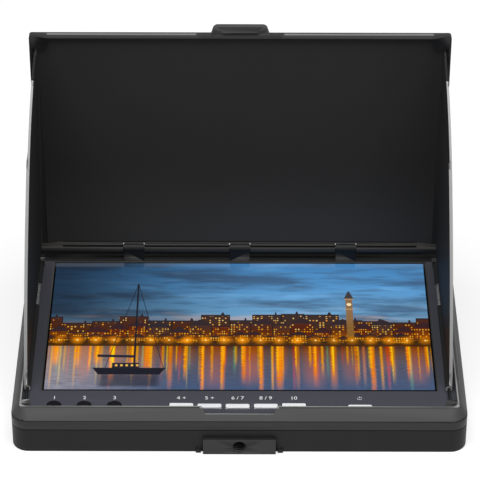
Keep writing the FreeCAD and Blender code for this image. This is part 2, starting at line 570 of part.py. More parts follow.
# Front shell: bezel plate, raised rim, hinge knuckles and the blocks of the flap pins
def make_front_frame():
    wall = rounded_body("FrameWall", CASE_WIDTH, CASE_DEPTH, "case_corner",
                        "split_height", "bezel_height")
    sections = []
    for width, depth, radius, z in (
        (CASE_WIDTH, CASE_DEPTH, "case_corner", "bezel_height"),
        (f"{CASE_WIDTH}-2*rim_side", f"{CASE_DEPTH}-2*rim_end", "case_corner-rim_side", RIM_TOP),
    ):
        section = doc.addObject("Sketcher::SketchObject", "RimSection")
        rounded_outline(section, width, depth, radius)
        bind(section, "Placement.Base.z", z)
        sections.append(section)
    rim = doc.addObject("Part::Loft", "Rim")
    rim.Sections = sections
    rim.Solid = True
    rim.Ruled = True
    corner = "case_corner-rim_side-rim_land"
    recess = rounded_body("Recess", f"2*{RECESS_HALF}", f"2*{RECESS_FRONT}", corner,
                          "bezel_height", f"{RIM_TOP}+1")
    deep = f"(0-{RECESS_FRONT}-notch_reach)"
    notch_high = "(rim_rise*(rim_end+rim_land-notch_reach-notch_land)/rim_end)"
    inner = "notch_half-notch_slant"
    notch = slanted((inner, deep), ("notch_half", f"0.01-{RECESS_FRONT}"), ("bezel_height", f"{RIM_TOP}+1"))
    notch_top = slanted((inner, f"{deep}-notch_land"), ("notch_half+0.01", f"0-{RECESS_FRONT}"),
                        (f"bezel_height+{notch_high}", f"{RIM_TOP}+1"))
    hollow = rounded_body("FrameHollow", f"{CASE_WIDTH}-2*shell", f"{CASE_DEPTH}-2*shell",
                          "case_corner-shell", "split_height-1", PLATE_LOW)
    seams = [
        ring(f"{CASE_WIDTH}-2*seam_depth", f"{CASE_DEPTH}-2*seam_depth", "case_corner-seam_depth",
             low, f"{low}+{height}", "1")
        for low, height in (("split_height-0.1", "seam_height+0.1"), ("bezel_height-0.1", "seam_height"))
    ]
    added = [bar("z", "2*boss_radius", ("boss_height", f"{PLATE_LOW}+0.2"), x, y) for x, y in SCREWS]
    for x in KNUCKLES:
        side = about(x, "knuckle_width")
        added.append(block(side, about(AXIS_Y, "2*hinge_radius-0.6"), (f"{PLATE_LOW}+0.5", AXIS_Z)))
        added.append(bar("x", "2*hinge_radius-0.2", side, AXIS_Y, AXIS_Z))
    for x in BUTTON_SCREWS:
        added.append(bar("z", "button_post", (BUTTON_TOP, f"{PLATE_LOW}+0.2"), x, BUTTON_SCREW_Y))
    foot = (f"{PLATE_LOW}+0.5", "bezel_height+block_height")
    for side in (1, -1):
        x = either(side, f"{PIVOT_X[side]}-block_margin", f"{RECESS_HALF}+0.3")
        front = f"front_block_inset-{RECESS_FRONT}"
        added.append(block(x, (front, f"{front}+front_block_depth"), foot))
        added.append(block(x, (REAR_BLOCK, f"{REAR_BLOCK}+rear_block_depth"), foot))
    window = (across(f"{GLASS_HALF}+glass_gap"), (f"{GLASS_FRONT}-glass_gap", f"{GLASS_REAR}+glass_gap"))
    mouth = (across(f"{GLASS_HALF}+2*glass_sink"), (f"{GLASS_FRONT}-2*glass_sink", f"{window[1][1]}+0.2"))
    tools = [block(*window, (f"{PLATE_LOW}-0.5", f"{GLASS_TOP}+0.05"))]
    tools.append(taper(window, mouth, (GLASS_TOP, "bezel_height+0.001")))
    for label, x, y in KEYS:
        tools.append(block(about(x, "key_width+2*key_gap"), about(y, "key_depth+2*key_gap"),
                           (f"{PLATE_LOW}-0.5", "bezel_height+0.5")))
    for x in LAMPS:
        tools.append(bar("z", "2*lamp_radius", (f"{PLATE_LOW}-0.5", "bezel_height+0.5"), x, LAMP_Y))
    for x, y in SCREWS:
        tools.append(bar("z", "screw_shank", ("boss_height-0.5", f"{PLATE_LOW}-0.6"), x, y))
    for x in BUTTON_SCREWS:
        tools.append(bar("z", "board_screw", (f"{BUTTON_TOP}-0.5", f"{PLATE_LOW}-0.6"), x, BUTTON_SCREW_Y))
    tools.append(bar("x", "hinge_rod", across("rod_half"), AXIS_Y, AXIS_Z))
    for side in (1, -1):
        pin = (PIN_FRONT, PIN_REAR)
        tools.append(bar("y", "pin_size", pin, f"{side}*{PIVOT_X[side]}", PIVOT_Z))
    body = cut(fuse(wall, rim), recess, notch, notch_top, hollow, *seams)
    return piece(cut(fuse(body, *added), *tools), "front_frame")


# Display: glass, metal tray and the lighting unit inside the tray
def make_display():
    piece(block(across(GLASS_HALF), (GLASS_FRONT, GLASS_REAR), (f"{GLASS_TOP}-glass_thick", GLASS_TOP)),
          "display_glass")
    half = f"{GLASS_HALF}+tray_side"
    y = (f"{GLASS_FRONT}-tray_end", f"{GLASS_REAR}+tray_end")
    outer = block(across(half), y, (TRAY_LOW, TRAY_TOP))
    inner = block(across(f"{half}-tray_wall"), (f"{y[0]}+tray_wall", f"{y[1]}-tray_wall"),
                  (f"{TRAY_LOW}+tray_wall", f"{TRAY_TOP}-tray_wall"))
    window = block(across(f"{GLASS_HALF}-1.5"), (f"{GLASS_FRONT}+1.5", f"{GLASS_REAR}-1.5"),
                   (f"{TRAY_TOP}-1", f"{TRAY_TOP}+1"))
    piece(cut(outer, inner, window), "display_tray")
    guide = (f"{TRAY_LOW}+tray_wall", f"{TRAY_TOP}-tray_wall-0.1")
    light = f"{y[0]}+tray_wall+3"
    piece(block(across(f"{half}-tray_wall-0.2"), (light, f"{y[1]}-tray_wall-0.2"), guide),
          "light_guide")
    strip = [block(across(f"{half}-tray_wall-2"), (f"{y[0]}+tray_wall", f"{y[0]}+tray_wall+0.8"), guide)]
    for count in range(9):
        x = f"{count - 4}*active_width/9.5"
        strip.append(block(about(x, "3.5"), (f"{y[0]}+tray_wall+0.7", f"{light}-0.1"),
                           (f"{TRAY_LOW}+tray_wall+0.6", f"{TRAY_LOW}+tray_wall+2.2")))
    piece(fuse(*strip), "light_strip")
    run = (f"{BOARD_REAR}-5", f"{BOARD_REAR}+2")
    ribbon = [
        block(across("ribbon_width/2"), run, (BOARD_TOP, f"{BOARD_TOP}+ribbon_thick")),
        block(across("ribbon_width/2"), (f"{run[1]}-ribbon_thick", run[1]), (BOARD_TOP, f"{TRAY_LOW}")),
        block(across("ribbon_width/2"), (f"{run[1]}-6", run[1]), (f"{TRAY_LOW}-ribbon_thick", TRAY_LOW)),
    ]
    piece(fuse(*ribbon), "display_ribbon")


# Circuit boards and what stands on them
def make_boards():
    half = f"({INNER_HALF}-board_margin)"
    board = block(across(half), (f"{BOARD_REAR}-board_depth", BOARD_REAR), (BOARD_LOW, BOARD_TOP))
    through = (f"{BOARD_LOW}-1", f"{BOARD_TOP}+1")
    holes = [bar("z", "board_screw+part_gap", through, x, y) for x, y in BOARD_SCREWS]
    piece(cut(board, *holes), "main_board")
    chips = []
    for chip, *values in CHIPS:
        x = f"{chip}_across"
        if chip in BY_THE_WALLS:
            x = f"{BY_THE_WALLS[chip]}*({INNER_HALF}-{chip}_across)"
        chips.append(block(about(x, f"{chip}_width"), about(f"{BOARD_REAR}-{chip}_rear", f"{chip}_depth"),
                           (BOARD_TOP, f"{BOARD_TOP}+{chip}_height")))
    piece(group(*chips), "board_chips")
    rear = f"({BOARD_REAR}-3)"
    modules = [
        block(about(f"{side}*receiver_across", "receiver_width"), (f"{rear}-receiver_depth", rear),
              (BOARD_TOP, f"{BOARD_TOP}+receiver_height"))
        for side in (1, -1)
    ]
    piece(group(*modules), "receiver_modules")
    cells = []
    for side in (1, -1):
        cell = rounded_body("Cell", CELL_WIDTH, CELL_DEPTH, "1.5", "shell", "shell+cell_thick")
        round_edges(cell, "CellRound", "1.2", lambda box: box.ZLength < 0.01)
        bind(cell, "Placement.Base.x", f"{side}*(cell_space+{CELL_WIDTH})/2")
        bind(cell, "Placement.Base.y", f"{CELL_FRONT}+{CELL_DEPTH}/2")
        cells.append(cell)
    piece(group(*cells), "battery_cells")


# Button board under the bezel, with its switches, lamps and screws
def make_button_board():
    x = (f"{LAMP_FIRST}-8.4", "power_across+7")
    board = block(x, BUTTON_BOARD_Y, ("button_board_height", BUTTON_TOP))
    through = ("button_board_height-1", f"{BUTTON_TOP}+1")
    holes = [bar("z", "board_screw+part_gap", through, place, BUTTON_SCREW_Y) for place in BUTTON_SCREWS]
    piece(cut(board, *holes), "button_board")
    switches = []
    top = f"{BUTTON_TOP}+switch_height"
    for label, x, y in KEYS:
        body = block(about(x, "switch_size"), about(y, "switch_size"), (BUTTON_TOP, top))
        well = bar("z", "stem_size+0.7", (f"{BUTTON_TOP}+switch_well", f"{top}+1"), x, y)
        switches.append(cut(body, well))
    piece(group(*switches), "key_switches")
    lamps = [block(about(x, "2.8"), about(LAMP_Y, "1.6"), (BUTTON_TOP, f"{BUTTON_TOP}+1")) for x in LAMPS]
    piece(group(*lamps), "status_lamps")
    windows = []
    for x in LAMPS:
        pipe = bar("z", "2*lamp_radius", (f"{BUTTON_TOP}+1.3", "bezel_height-0.1"), x, LAMP_Y)
        windows.append(fuse(pipe, bar("z", "2*lamp_radius+1.2", (f"{PLATE_LOW}-0.9", PLATE_LOW), x, LAMP_Y)))
    piece(group(*windows), "lamp_windows")


def make_key(label, x, y):
    """A key: its cap in the bezel, the flange that keeps it in and the stem to its switch."""
    cap = rounded_body("Cap", "key_width", "key_depth", "0.7", FLANGE_TOP, "bezel_height+key_rise")
    round_edges(cap, "CapRound", "0.3", lambda box: box.ZMin > cap.Shape.BoundBox.ZLength - 0.01)
    flange = block(about("0", "key_width+2*flange_border"), about("0", "key_depth+2*flange_border"),
                   (f"{FLANGE_TOP}-flange_thick", FLANGE_TOP))
    foot = f"{BUTTON_TOP}+switch_well+key_travel+key_spare"
    stem = bar("z", "stem_size", (foot, f"{FLANGE_TOP}-flange_thick"), "0", "0")
    return piece(move(fuse(cap, flange, stem), x, y, "0"), label)


def cap_screw(x, y, foot, seat, shank, head, height, up=True):
    """A screw along Z: its shank runs from foot to seat, and its head stands beyond the seat."""
    sign = "+" if up else "-"
    face = f"{seat}{sign}{height}"
    cross = f"{face}{'-' if up else '+'}({height})*0.5"
    sunk = (cross, f"{face}+0.1") if up else (f"{face}-0.1", cross)
    body = fuse(
        bar("z", shank, (foot, seat) if up else (seat, foot), x, y),
        bar("z", head, (seat, face) if up else (face, seat), x, y),
    )
    arms = [block(about(x, f"({head})*{a}"), about(y, f"({head})*{b}"), sunk)
            for a, b in ((0.62, 0.16), (0.16, 0.62))]
    return cut(body, *arms)


# Screws, each kind as one group
def make_screws():
    seat = "(screw_sink+part_gap)"
    piece(group(*[cap_screw(x, y, f"{PLATE_LOW}-1.3", seat, "screw_shank", "screw_head", "screw_sink", False)
                  for x, y in SCREWS]), "case_screws")
    small = ("board_screw", "board_screw_head", "board_screw_high")
    piece(group(*[cap_screw(x, y, "shell-screw_bite", BOARD_TOP, *small) for x, y in BOARD_SCREWS]),
          "board_screws")
    foot = f"{PLATE_LOW}-0.8"
    piece(group(*[cap_screw(x, BUTTON_SCREW_Y, foot, "button_board_height", *small, False)
                  for x in BUTTON_SCREWS]), "button_board_screws")
    large = ("ear_screw", "ear_screw_head", "ear_screw_high")
    piece(group(*[cap_screw(EAR_SCREW_X.format(side), EAR_SCREW_Y, "shell-screw_bite", "(shell+ear_thick)",
                            *large) for side in (1, -1)]), "tripod_block_screws")


# Sockets in the side and rear walls, and the tripod block in the front wall
def make_sockets():
    jacks = []
    x = either(-1, f"{INNER_HALF}-jack_length", INNER_HALF)
    z = (BOARD_TOP, f"{BOARD_TOP}+jack_height")
    for y in (JACK_NEAR, JACK_FAR):
        bore = either(-1, f"{INNER_HALF}-jack_length+1", f"{INNER_HALF}+1")
        jacks.append(cut(block(x, about(y, "jack_width"), z), bar("x", "audio_bore", bore, y, JACK_Z)))
    piece(group(*jacks), "audio_jacks")
    x = (f"{INNER_HALF}-jack_length", INNER_HALF)
    floor = f"{x[0]}+1.5"
    shell = block(x, about(JACK_NEAR, "jack_width"), z)
    piece(cut(shell, bar("x", "power_bore", (floor, f"{x[1]}+1"), JACK_NEAR, JACK_Z)), "power_jack")
    piece(bar("x", "power_pin", (floor, f"{x[1]}-1"), JACK_NEAR, JACK_Z), "power_jack_pin")
    card = block((f"{INNER_HALF}-card_length", INNER_HALF), about(JACK_FAR, "card_width"),
                 (BOARD_TOP, f"{BOARD_TOP}+card_height"))
    slot = block((f"{INNER_HALF}-card_room", f"{INNER_HALF}+1"), about(JACK_FAR, "card_slot_width"),
                 (f"{BOARD_TOP}+0.3", f"{BOARD_TOP}+0.3+card_slot_height"))
    piece(cut(card, slot), "card_socket")
    sockets = []
    nuts = []
    for side in (1, -1):
        x = f"{side}*antenna_across"
        tip = f"{FRONT}+antenna_length"
        body = fuse(
            hexagon("6", (f"{INNER_FRONT}-antenna_foot", INNER_FRONT), x, "antenna_height"),
            bar("y", "antenna_core", (f"{INNER_FRONT}-0.1", f"{FRONT}+nut_thick+0.1"), x, "antenna_height"),
            bar("y", "antenna_thread", (f"{FRONT}+nut_thick", tip), x, "antenna_height"),
        )
        body = cut(body, bar("y", "antenna_bore", (f"{tip}-6", f"{tip}+1"), x, "antenna_height"))
        pin = bar("y", "1.3", (f"{tip}-6.5", f"{tip}-1"), x, "antenna_height")
        sockets.append(fuse(body, pin))
        nut = hexagon("nut_width", (FRONT, f"{FRONT}+nut_thick"), x, "antenna_height")
        hole = bar("y", "antenna_core", (f"{FRONT}-1", f"{FRONT}+nut_thick+1"), x, "antenna_height")
        nuts.append(cut(nut, hole))
    piece(group(*sockets), "antenna_sockets")
    piece(group(*nuts), "antenna_nuts")
    solid = [block(across("block_half"), (f"-{FRONT}-block_proud", BLOCK_BACK), ("0", "block_high"))]
    ears = across("block_half+ear_width")
    solid.append(block(ears, (f"{BLOCK_BACK}-7.8", BLOCK_BACK), ("shell", "shell+ear_thick")))
    mouth = f"-{FRONT}-block_proud"
    tools = [bar("y", "thread_core", (f"{mouth}-1", f"{mouth}+thread_depth"), "0", "block_high/2")]
    for side in (1, -1):
        through = ("0", "shell+2*ear_thick")
        tools.append(bar("z", "ear_screw", through, EAR_SCREW_X.format(side), EAR_SCREW_Y))
    piece(cut(fuse(*solid), *tools), "tripod_block")


def make_leads():
    """The two coaxial leads, each from an antenna socket round to its receiver module."""
    start = half_depth() - size("shell") - size("antenna_foot")
    x = size("antenna_across")
    target = size("receiver_across") + size("receiver_width") / 2
    bend = x - target
    straight = 4.0
    leads = []
    for side in (1, -1):
        ends = [Vector(side * x, start, 0), Vector(side * x, start - straight, 0)]
        middle = Vector(side * (target + bend * math.sqrt(0.5)), start - straight - bend * math.sqrt(0.5), 0)
        last = Vector(side * target, start - straight - bend, 0)
        path = Part.Wire([Part.makeLine(*ends), Part.Arc(ends[1], middle, last).toShape()])
        circle = Part.Wire([Part.makeCircle(size("lead_size") / 2, ends[0], Vector(0, 1, 0))])
        leads.append(path.makePipeShell([circle], True, False))
    item = doc.addObject("Part::Feature", "Leads")
    item.Shape = Part.makeCompound(leads)
    bind(item, "Placement.Base.z", "antenna_height")
    piece(item, "antenna_leads")


def top_corners(item, radius):
    """A plate with the two upper corners of its face rounded."""
    doc.recompute()
    rounded = doc.addObject("Part::Fillet", "Corners")
    rounded.Base = item
    top = item.Shape.BoundBox.ZMax - 0.01
    rounded.Edges = [
        (i, size(radius), size(radius))
        for i, edge in enumerate(item.Shape.Edges, 1)
        if edge.BoundBox.YLength > 1 and edge.BoundBox.ZMin > top
    ]
    return rounded


# Hood: the lid with its edge wall, corner pads, latch tab and barrel
def make_lid():
    face = f"{FACE_Y}-1"
    panel = block(across(LID_HALF), (FACE_Y, BACK_Y), (AXIS_Z, LID_TOP))
    rounded = top_corners(panel, "lid_corner")
    barrel = bar("x", "2*hinge_radius", across(LID_HALF), AXIS_Y, AXIS_Z)
    tab_y = (f"{BACK_Y}-tab_thick", BACK_Y)
    tab = taper((across("tab_half"), tab_y), (across("tab_tip_half"), tab_y),
                (f"{LID_TOP}-lid_wall/2", f"{LID_TOP}+tab_reach"))
    tab = top_corners(tab, "tab_corner")
    lip = block(across("lip_half"), (FACE_Y, f"{FACE_Y}+lip_size+0.1"),
                (f"{LID_TOP}+tab_reach/3", f"{LID_TOP}+tab_reach/3+lip_size"))
    band = f"{AXIS_Z}+hollow_start"
    inner = f"{LID_HALF}-lid_wall"
    hollow = block(across(inner), (face, f"{FACE_Y}+lid_hollow"), (band, f"{LID_TOP}-edge_chamfer-0.1"))
    upper = (f"{LID_TOP}-pad_height", LID_TOP)
    pads = [
        block(either(side, f"{LID_HALF}-pad_width", LID_HALF), (face, BACK_Y), upper) for side in (1, -1)
    ]
    tools = [cut(hollow, *pads)]
    for side in (1, -1):
        x = either(side, f"{inner}-channel_width", inner)
        channel = (f"{FACE_Y}+lid_hollow-0.1", f"{FACE_Y}+lid_hollow+channel_depth")
        tools.append(block(x, channel, (band, f"{LID_TOP}-pad_height")))
        x = either(side, "tab_half+4.5", f"{LID_HALF}-pad_width")
        tools.append(taper((x, (face, FACE_Y)), (x, (face, f"{FACE_Y}+edge_chamfer")),
                           (f"{LID_TOP}-edge_chamfer", LID_TOP)))
    tools.append(block(across("groove_half"), (face, f"{FACE_Y}+lid_hollow+groove_depth"),
                       about(f"{AXIS_Z}+groove_high", "groove_width")))
    panel = cut(fuse(rounded, tab, lip), *tools)
    tools = [
        block(about(x, "knuckle_width+2*knuckle_gap"), (face, f"{BACK_Y}+2"),
              (f"{AXIS_Z}-hinge_radius-1", f"{AXIS_Z}+hinge_radius+0.4"))
        for x in KNUCKLES
    ]
    tools.append(block(across("groove_half"), (face, f"{AXIS_Y}-groove_low_floor"),
                       about(f"{AXIS_Z}+groove_low", "groove_low_width")))
    tools.append(bar("x", "hinge_rod+2*hinge_play", ("-rod_half-20", "rod_half+part_gap"), AXIS_Y, AXIS_Z))
    piece(cut(fuse(panel, barrel), *tools), "lid")
    piece(bar("x", "hinge_rod", across("rod_half"), AXIS_Y, AXIS_Z), "lid_rod")


def flap_outline(sketch):
    """Draw a flap's side view, with Y across and the height above its pin upwards."""
    rear = flap_rear()
    front = size("flap_front") + size("rim_end") + size("rim_land") - half_depth()
    notch = size("block_height") - size("pivot_height") + 1.4
    inset = size("rear_block_inset") + size("rear_block_depth") + size("barrel_gap")
    notch_text = "block_height-pivot_height+1.4"
    inset_text = f"{REAR_BLOCK}-barrel_gap"
    corners = [
        (front, -size("flap_foot"), FLAP_FRONT, "-flap_foot"),
        (rear - size("kink_back"), size("kink_height"), f"{FLAP_REAR}-kink_back", "kink_height"),
        (rear - size("crown_back"), size("flap_height"), f"{FLAP_REAR}-crown_back", "flap_height"),
        (rear, size("flap_height") - size("flap_rear_drop"), FLAP_REAR, "flap_height-flap_rear_drop"),
        (rear, notch, FLAP_REAR, notch_text),
        (rear - inset, notch, inset_text, notch_text),
        (rear - inset, -size("flap_foot"), inset_text, "-flap_foot"),
    ]
    points = [Vector(y, z, 0) for y, z, *text in corners]
    bows = [size("front_bow"), size("crown_bow")]
    for index, start in enumerate(points):
        end = points[(index + 1) % len(points)]
        if index < len(bows):
            middle = (start + end) / 2
            half = (end - start).Length / 2
            aside = Vector(end.y - start.y, start.x - end.x, 0).normalize()
            centre = middle + aside * math.sqrt(bows[index] ** 2 - half ** 2)
            angles = [math.atan2(point.y - centre.y, point.x - centre.x) % (2 * math.pi)
                      for point in (end, start)]
            sketch.addGeometry(Part.ArcOfCircle(Part.Circle(centre, Vector(0, 0, 1), bows[index]), *angles))
        else:
            sketch.addGeometry(Part.LineSegment(start, end))
    for index, (y, z, y_text, z_text) in enumerate(corners):
        here = (index, 2) if index < len(bows) else (index, 1)
        before = (index - 1) % len(corners)
        there = (before, 1) if before < len(bows) else (before, 2)
        sketch.addConstraint(Sketcher.Constraint("Coincident", *here, *there))
        for axis, number, text in (("X", y, y_text), ("Y", z, z_text)):
            name = f"corner{index}{axis}"
            place = sketch.addConstraint(Sketcher.Constraint(f"Distance{axis}", -1, 1, *here, number))
            sketch.renameConstraint(place, name)
            bind(sketch, f"Constraints.{name}", text)
    for index, (radius, text) in enumerate(zip(bows, ("front_bow", "crown_bow"))):
        place = sketch.addConstraint(Sketcher.Constraint("Radius", index, radius))
        sketch.renameConstraint(place, text)
        bind(sketch, f"Constraints.{text}", text)


def make_flap(side):
    """A side flap: a plate with a thinner free end and two barrels, leaning on its pin."""
    body = doc.addObject("PartDesign::Body", "Plate")
    sketch = body.newObject("Sketcher::SketchObject", "PlateOutline")
    sketch.AttachmentSupport = [(origin_plane(body, "YZ_Plane"), "")]
    sketch.MapMode = "FlatFace"
    flap_outline(sketch)
    pad = body.newObject("PartDesign::Pad", "PlatePad")
    pad.Profile = sketch
    pad.Reversed = side < 0
    bind(pad, "Length", "flap_thick")
    bind(body, "Placement.Base.x", f"{side}*flap_offset")
    doc.recompute()
    barrels = [
        bar("y", "2*barrel_radius", stretch, "0", "0")
        for stretch in ((f"{FLAP_FRONT}-0.2", f"{SPRING_FRONT}-0.3"),
                        (f"{SPRING_REAR}+0.3", f"{REAR_BLOCK}-barrel_gap+0.1"))
    ]
    outside = "(flap_offset+flap_thick)"
    relief = ("-1", "flap_offset+flap_relief") if side > 0 else (f"-{outside}-1", f"flap_relief-{outside}")
    room = "spring_radius+spring_wire+0.5"
    thinner = block(relief, (f"{FLAP_FRONT}-1", f"{FLAP_REAR}+1"), ("flap_step", "flap_height+5"))
    spring_room = block(across(room), (f"{SPRING_FRONT}-0.3", f"{SPRING_REAR}+0.3"), across(room))
    solid = fuse(cut(body, spring_room), *barrels)
    bore = bar("y", "pin_size+2*hinge_play", (f"{FLAP_FRONT}-1", f"{FLAP_REAR}+1"), "0", "0")
    flap = cut(cut(solid, bore), thinner)
    lean = Rotation(Vector(0, 1, 0), -side * size(f"lean_{SIDES[side]}"))
    piece(move(flap, f"{side}*{PIVOT_X[side]}", "0", PIVOT_Z, lean), f"flap_{SIDES[side]}")


def make_pins():
    stretch = (PIN_FRONT, PIN_REAR)
    pins = [bar("y", "pin_size", stretch, f"{side}*{PIVOT_X[side]}", PIVOT_Z) for side in SIDES]
    piece(group(*pins), "flap_pins")


def arc(start, heading, end):
    """An arc that sets out from start along a heading, to end."""
    chord = end - start
    along = Vector(chord).normalize()
    aside = (heading - along * heading.dot(along)).normalize()
    bulge = chord.Length / 2 * math.tan(heading.getAngle(chord) / 2)
    return Part.Arc(start, (start + end) / 2 + aside * bulge, end).toShape()


def biarc(start, first, end, second):
    """Two arcs that meet smoothly, from start along one heading to end along another."""
    chord = end - start
    both = first + second
    spread = 2 * (1 - first.dot(second))
    reach = (math.sqrt(chord.dot(both) ** 2 + spread * chord.dot(chord)) - chord.dot(both)) / spread
    middle = (start + end + (first - second) * reach) / 2
    heading = (end - second * reach - start - first * reach).normalize()
    return [arc(start, first, middle), arc(middle, heading, end)]


def least_gap(path, wire, apart):
    """The least space between stretches of a wound wire that lie so far apart along it."""
    points = path.discretize(Number=1200)
    skip = math.ceil(apart / path.Length * len(points))
    near = min((there - here).Length for i, here in enumerate(points) for there in points[i + skip:])
    return near - wire


def make_springs():
    """The torsion spring round each flap's pin, wound in half turns, with a leg on the bezel."""
    radius = size("spring_radius")
    wire = size("spring_wire")
    turns = int(size("spring_turns"))
    start = flap_rear() - size("spring_back") - size("spring_length") + wire / 2
    rise = (size("spring_length") - wire) / turns
    foot = size("pivot_height") - 0.1
    wall = half_width() - size("rim_side") - size("rim_land")
    pivots = {side: wall - size(f"pivot_{name}") for side, name in SIDES.items()}
    slope = rise / 2 / math.pi / radius
    coils = []

    def at(side, half_turns):
        """A place on the wire and the wire's heading there."""
        angle = math.pi * half_turns
        out, up = math.cos(angle), math.sin(angle)
        place = Vector(side * (pivots[side] - radius * out), start + rise * half_turns / 2, radius * up)
        return place, Vector(side * up, slope, out).normalize()

    for side in (1, -1):
        first, heading = at(side, 0)
        tip = first - heading * foot
        edges = [Part.makeLine(tip, first)]
        for half in range(2 * turns):
            edges += biarc(*at(side, half), *at(side, half + 1))
        last, finish = at(side, 2 * turns)
        edges.append(Part.makeLine(last, last + finish * wire))
        path = Part.Wire(edges)
        print("flap_springs: least gap to itself", round(least_gap(path, wire, math.pi * radius), 3))
        circle = Part.Wire([Part.makeCircle(wire / 2, tip, heading)])
        coils.append(path.makePipeShell([circle], True, False))
    item = doc.addObject("Part::Feature", "Springs")
    item.Shape = Part.makeCompound(coils)
    bind(item, "Placement.Base.z", PIVOT_Z)
    piece(item, "flap_springs")


make_rear_case()
make_front_frame()
make_display()
make_boards()
make_button_board()
for key in KEYS:
    make_key(*key)
make_screws()
make_sockets()
make_leads()
make_lid()
make_flap(-1)
make_flap(1)
make_pins()
make_springs()
doc.recompute()

for item in doc.Objects:
    if "Invalid" in item.State or "Error" in item.State:
        raise SystemExit(f"{item.Name} ({item.Label}) could not be worked out: {item.State}")
for item in PIECES:
    if item.Shape.isNull() or not item.Shape.isValid() or not item.Shape.Solids:
        raise SystemExit(f"{item.Label} is not a sound solid")

os.makedirs("parts", exist_ok=True)
for item in PIECES:
    item.Shape.exportStep(f"parts/{item.Label}.step")
    print(item.Label, len(item.Shape.Solids), round(item.Shape.Volume, 1))
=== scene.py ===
import math

import bpy
from mathutils import Matrix, Vector


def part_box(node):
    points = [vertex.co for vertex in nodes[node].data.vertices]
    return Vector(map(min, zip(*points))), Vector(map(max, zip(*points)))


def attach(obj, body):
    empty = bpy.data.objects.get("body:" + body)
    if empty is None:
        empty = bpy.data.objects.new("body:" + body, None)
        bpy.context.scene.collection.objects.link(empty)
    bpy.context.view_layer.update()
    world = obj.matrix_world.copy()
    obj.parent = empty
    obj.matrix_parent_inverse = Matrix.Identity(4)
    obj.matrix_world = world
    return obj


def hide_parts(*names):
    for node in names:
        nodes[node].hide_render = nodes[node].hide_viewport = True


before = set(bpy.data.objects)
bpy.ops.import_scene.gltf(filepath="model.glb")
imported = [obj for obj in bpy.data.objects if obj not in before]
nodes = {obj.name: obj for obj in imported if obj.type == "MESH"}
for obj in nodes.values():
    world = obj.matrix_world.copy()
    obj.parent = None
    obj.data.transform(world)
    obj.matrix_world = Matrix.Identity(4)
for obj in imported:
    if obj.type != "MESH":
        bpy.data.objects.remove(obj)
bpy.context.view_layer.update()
MM = 0.001

# Places read from the frame
GLASS_LOW, GLASS_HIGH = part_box("display_glass")
BLOCK_LOW, BLOCK_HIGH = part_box("tripod_block")
POWER_LOW, POWER_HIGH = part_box("key_power")
FRAME_LOW, FRAME_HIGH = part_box("front_frame")
SOCKET_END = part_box("antenna_sockets")[1].y
LID_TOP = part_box("lid")[1].z
KEY_RISE = 0.6 * MM
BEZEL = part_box("key_middle")[1].z - KEY_RISE
HINGE_FRONT = GLASS_HIGH.y
RECESS_FRONT = FRAME_LOW.y + 5.85 * MM
RECESS_HALF = FRAME_HIGH.x - 3.85 * MM
BLOCK_MIDDLE = (BLOCK_LOW.z + BLOCK_HIGH.z) / 2

# Paint of the front shell, with painted shadow lines, painted shade and a painted highlight
SHADOW_LINES = (
    (FRAME_LOW.z - 0.1 * MM, FRAME_LOW.z + 0.4 * MM),
    (BEZEL - 0.1 * MM, BEZEL + 0.3 * MM),
)
NOTCH_HALF = 15.2 * MM
RIM_LINE = 0.45 * MM
BEZEL_TONE = (0.062, 0.063, 0.078)
HINGE_SHADE_TONE = (0.012, 0.012, 0.012)
SHADOW_TONE = (0.004, 0.004, 0.004)
RIM_HIGHLIGHT_TONE = (0.34, 0.34, 0.34)

# Paint of the lid, with painted light, painted shade and a painted highlight
LID_AXIS = 20.3 * MM
LID_FACE = 48.0 * MM
LID_EDGE = 124.15 * MM
FOOT_LOW = LID_AXIS + 2.0 * MM
FOOT_HIGH = LID_AXIS + 45.0 * MM
GROOVES = (LID_AXIS + 1.5 * MM, LID_AXIS + 3.05 * MM)
GROOVE_HALF = 0.28 * MM
GROOVE_END = 74.0 * MM
TAB_HALF = 17.0 * MM
EDGE_LINE = (LID_FACE + 1.0 * MM, LID_FACE + 2.4 * MM)
EDGE_STRETCH = (17.5 * MM, 77.0 * MM)
FOOT_LIGHT_TONE = (0.05, 0.048, 0.046)
GROOVE_SHADE_TONE = (0.002, 0.002, 0.002)
TAB_TONE = (0.055, 0.055, 0.056)
TOP_EDGE_HIGHLIGHT_TONE = (0.2, 0.2, 0.203)

# Camera of the photograph, solved from the picture's four corners
CAMERA_PLACE = Vector((0.08 * MM, -854.0 * MM, 652.5 * MM))
CAMERA_PITCH = 34.8
CAMERA_ROLL = 0.13
LENS = 196.8
SENSOR = 36.0
NEAREST = 0.05
FARTHEST = 60.0


# Shader values and materials
class Value:
    """A shader value: maths on it adds the Math nodes."""

    def __init__(self, finish, socket):
        self.finish = finish
        self.socket = socket

    def maths(self, operation, first, second=0.0):
        return self.finish.node("Math", {"operation": operation}, {0: first, 1: second})

    def __add__(self, other):
        return self.maths("ADD", self, other)

    def __sub__(self, other):
        return self.maths("SUBTRACT", self, other)

    def __rsub__(self, other):
        return self.maths("SUBTRACT", other, self)

    def __mul__(self, other):
        return self.maths("MULTIPLY", self, other)

    def __truediv__(self, other):
        return self.maths("DIVIDE", self, other)

    def __pow__(self, other):
        return self.maths("POWER", self, other)

    def __gt__(self, other):
        return self.maths("GREATER_THAN", self, other)

    def __lt__(self, other):
        return self.maths("LESS_THAN", self, other)

    __radd__ = __add__
    __rmul__ = __mul__

    def floor(self):
        return self.maths("FLOOR", self)

    def fraction(self):
        return self.maths("FRACT", self)

    def size(self):
        return self.maths("ABSOLUTE", self)

    def greater(self, other):
        return self.maths("MAXIMUM", self, other)


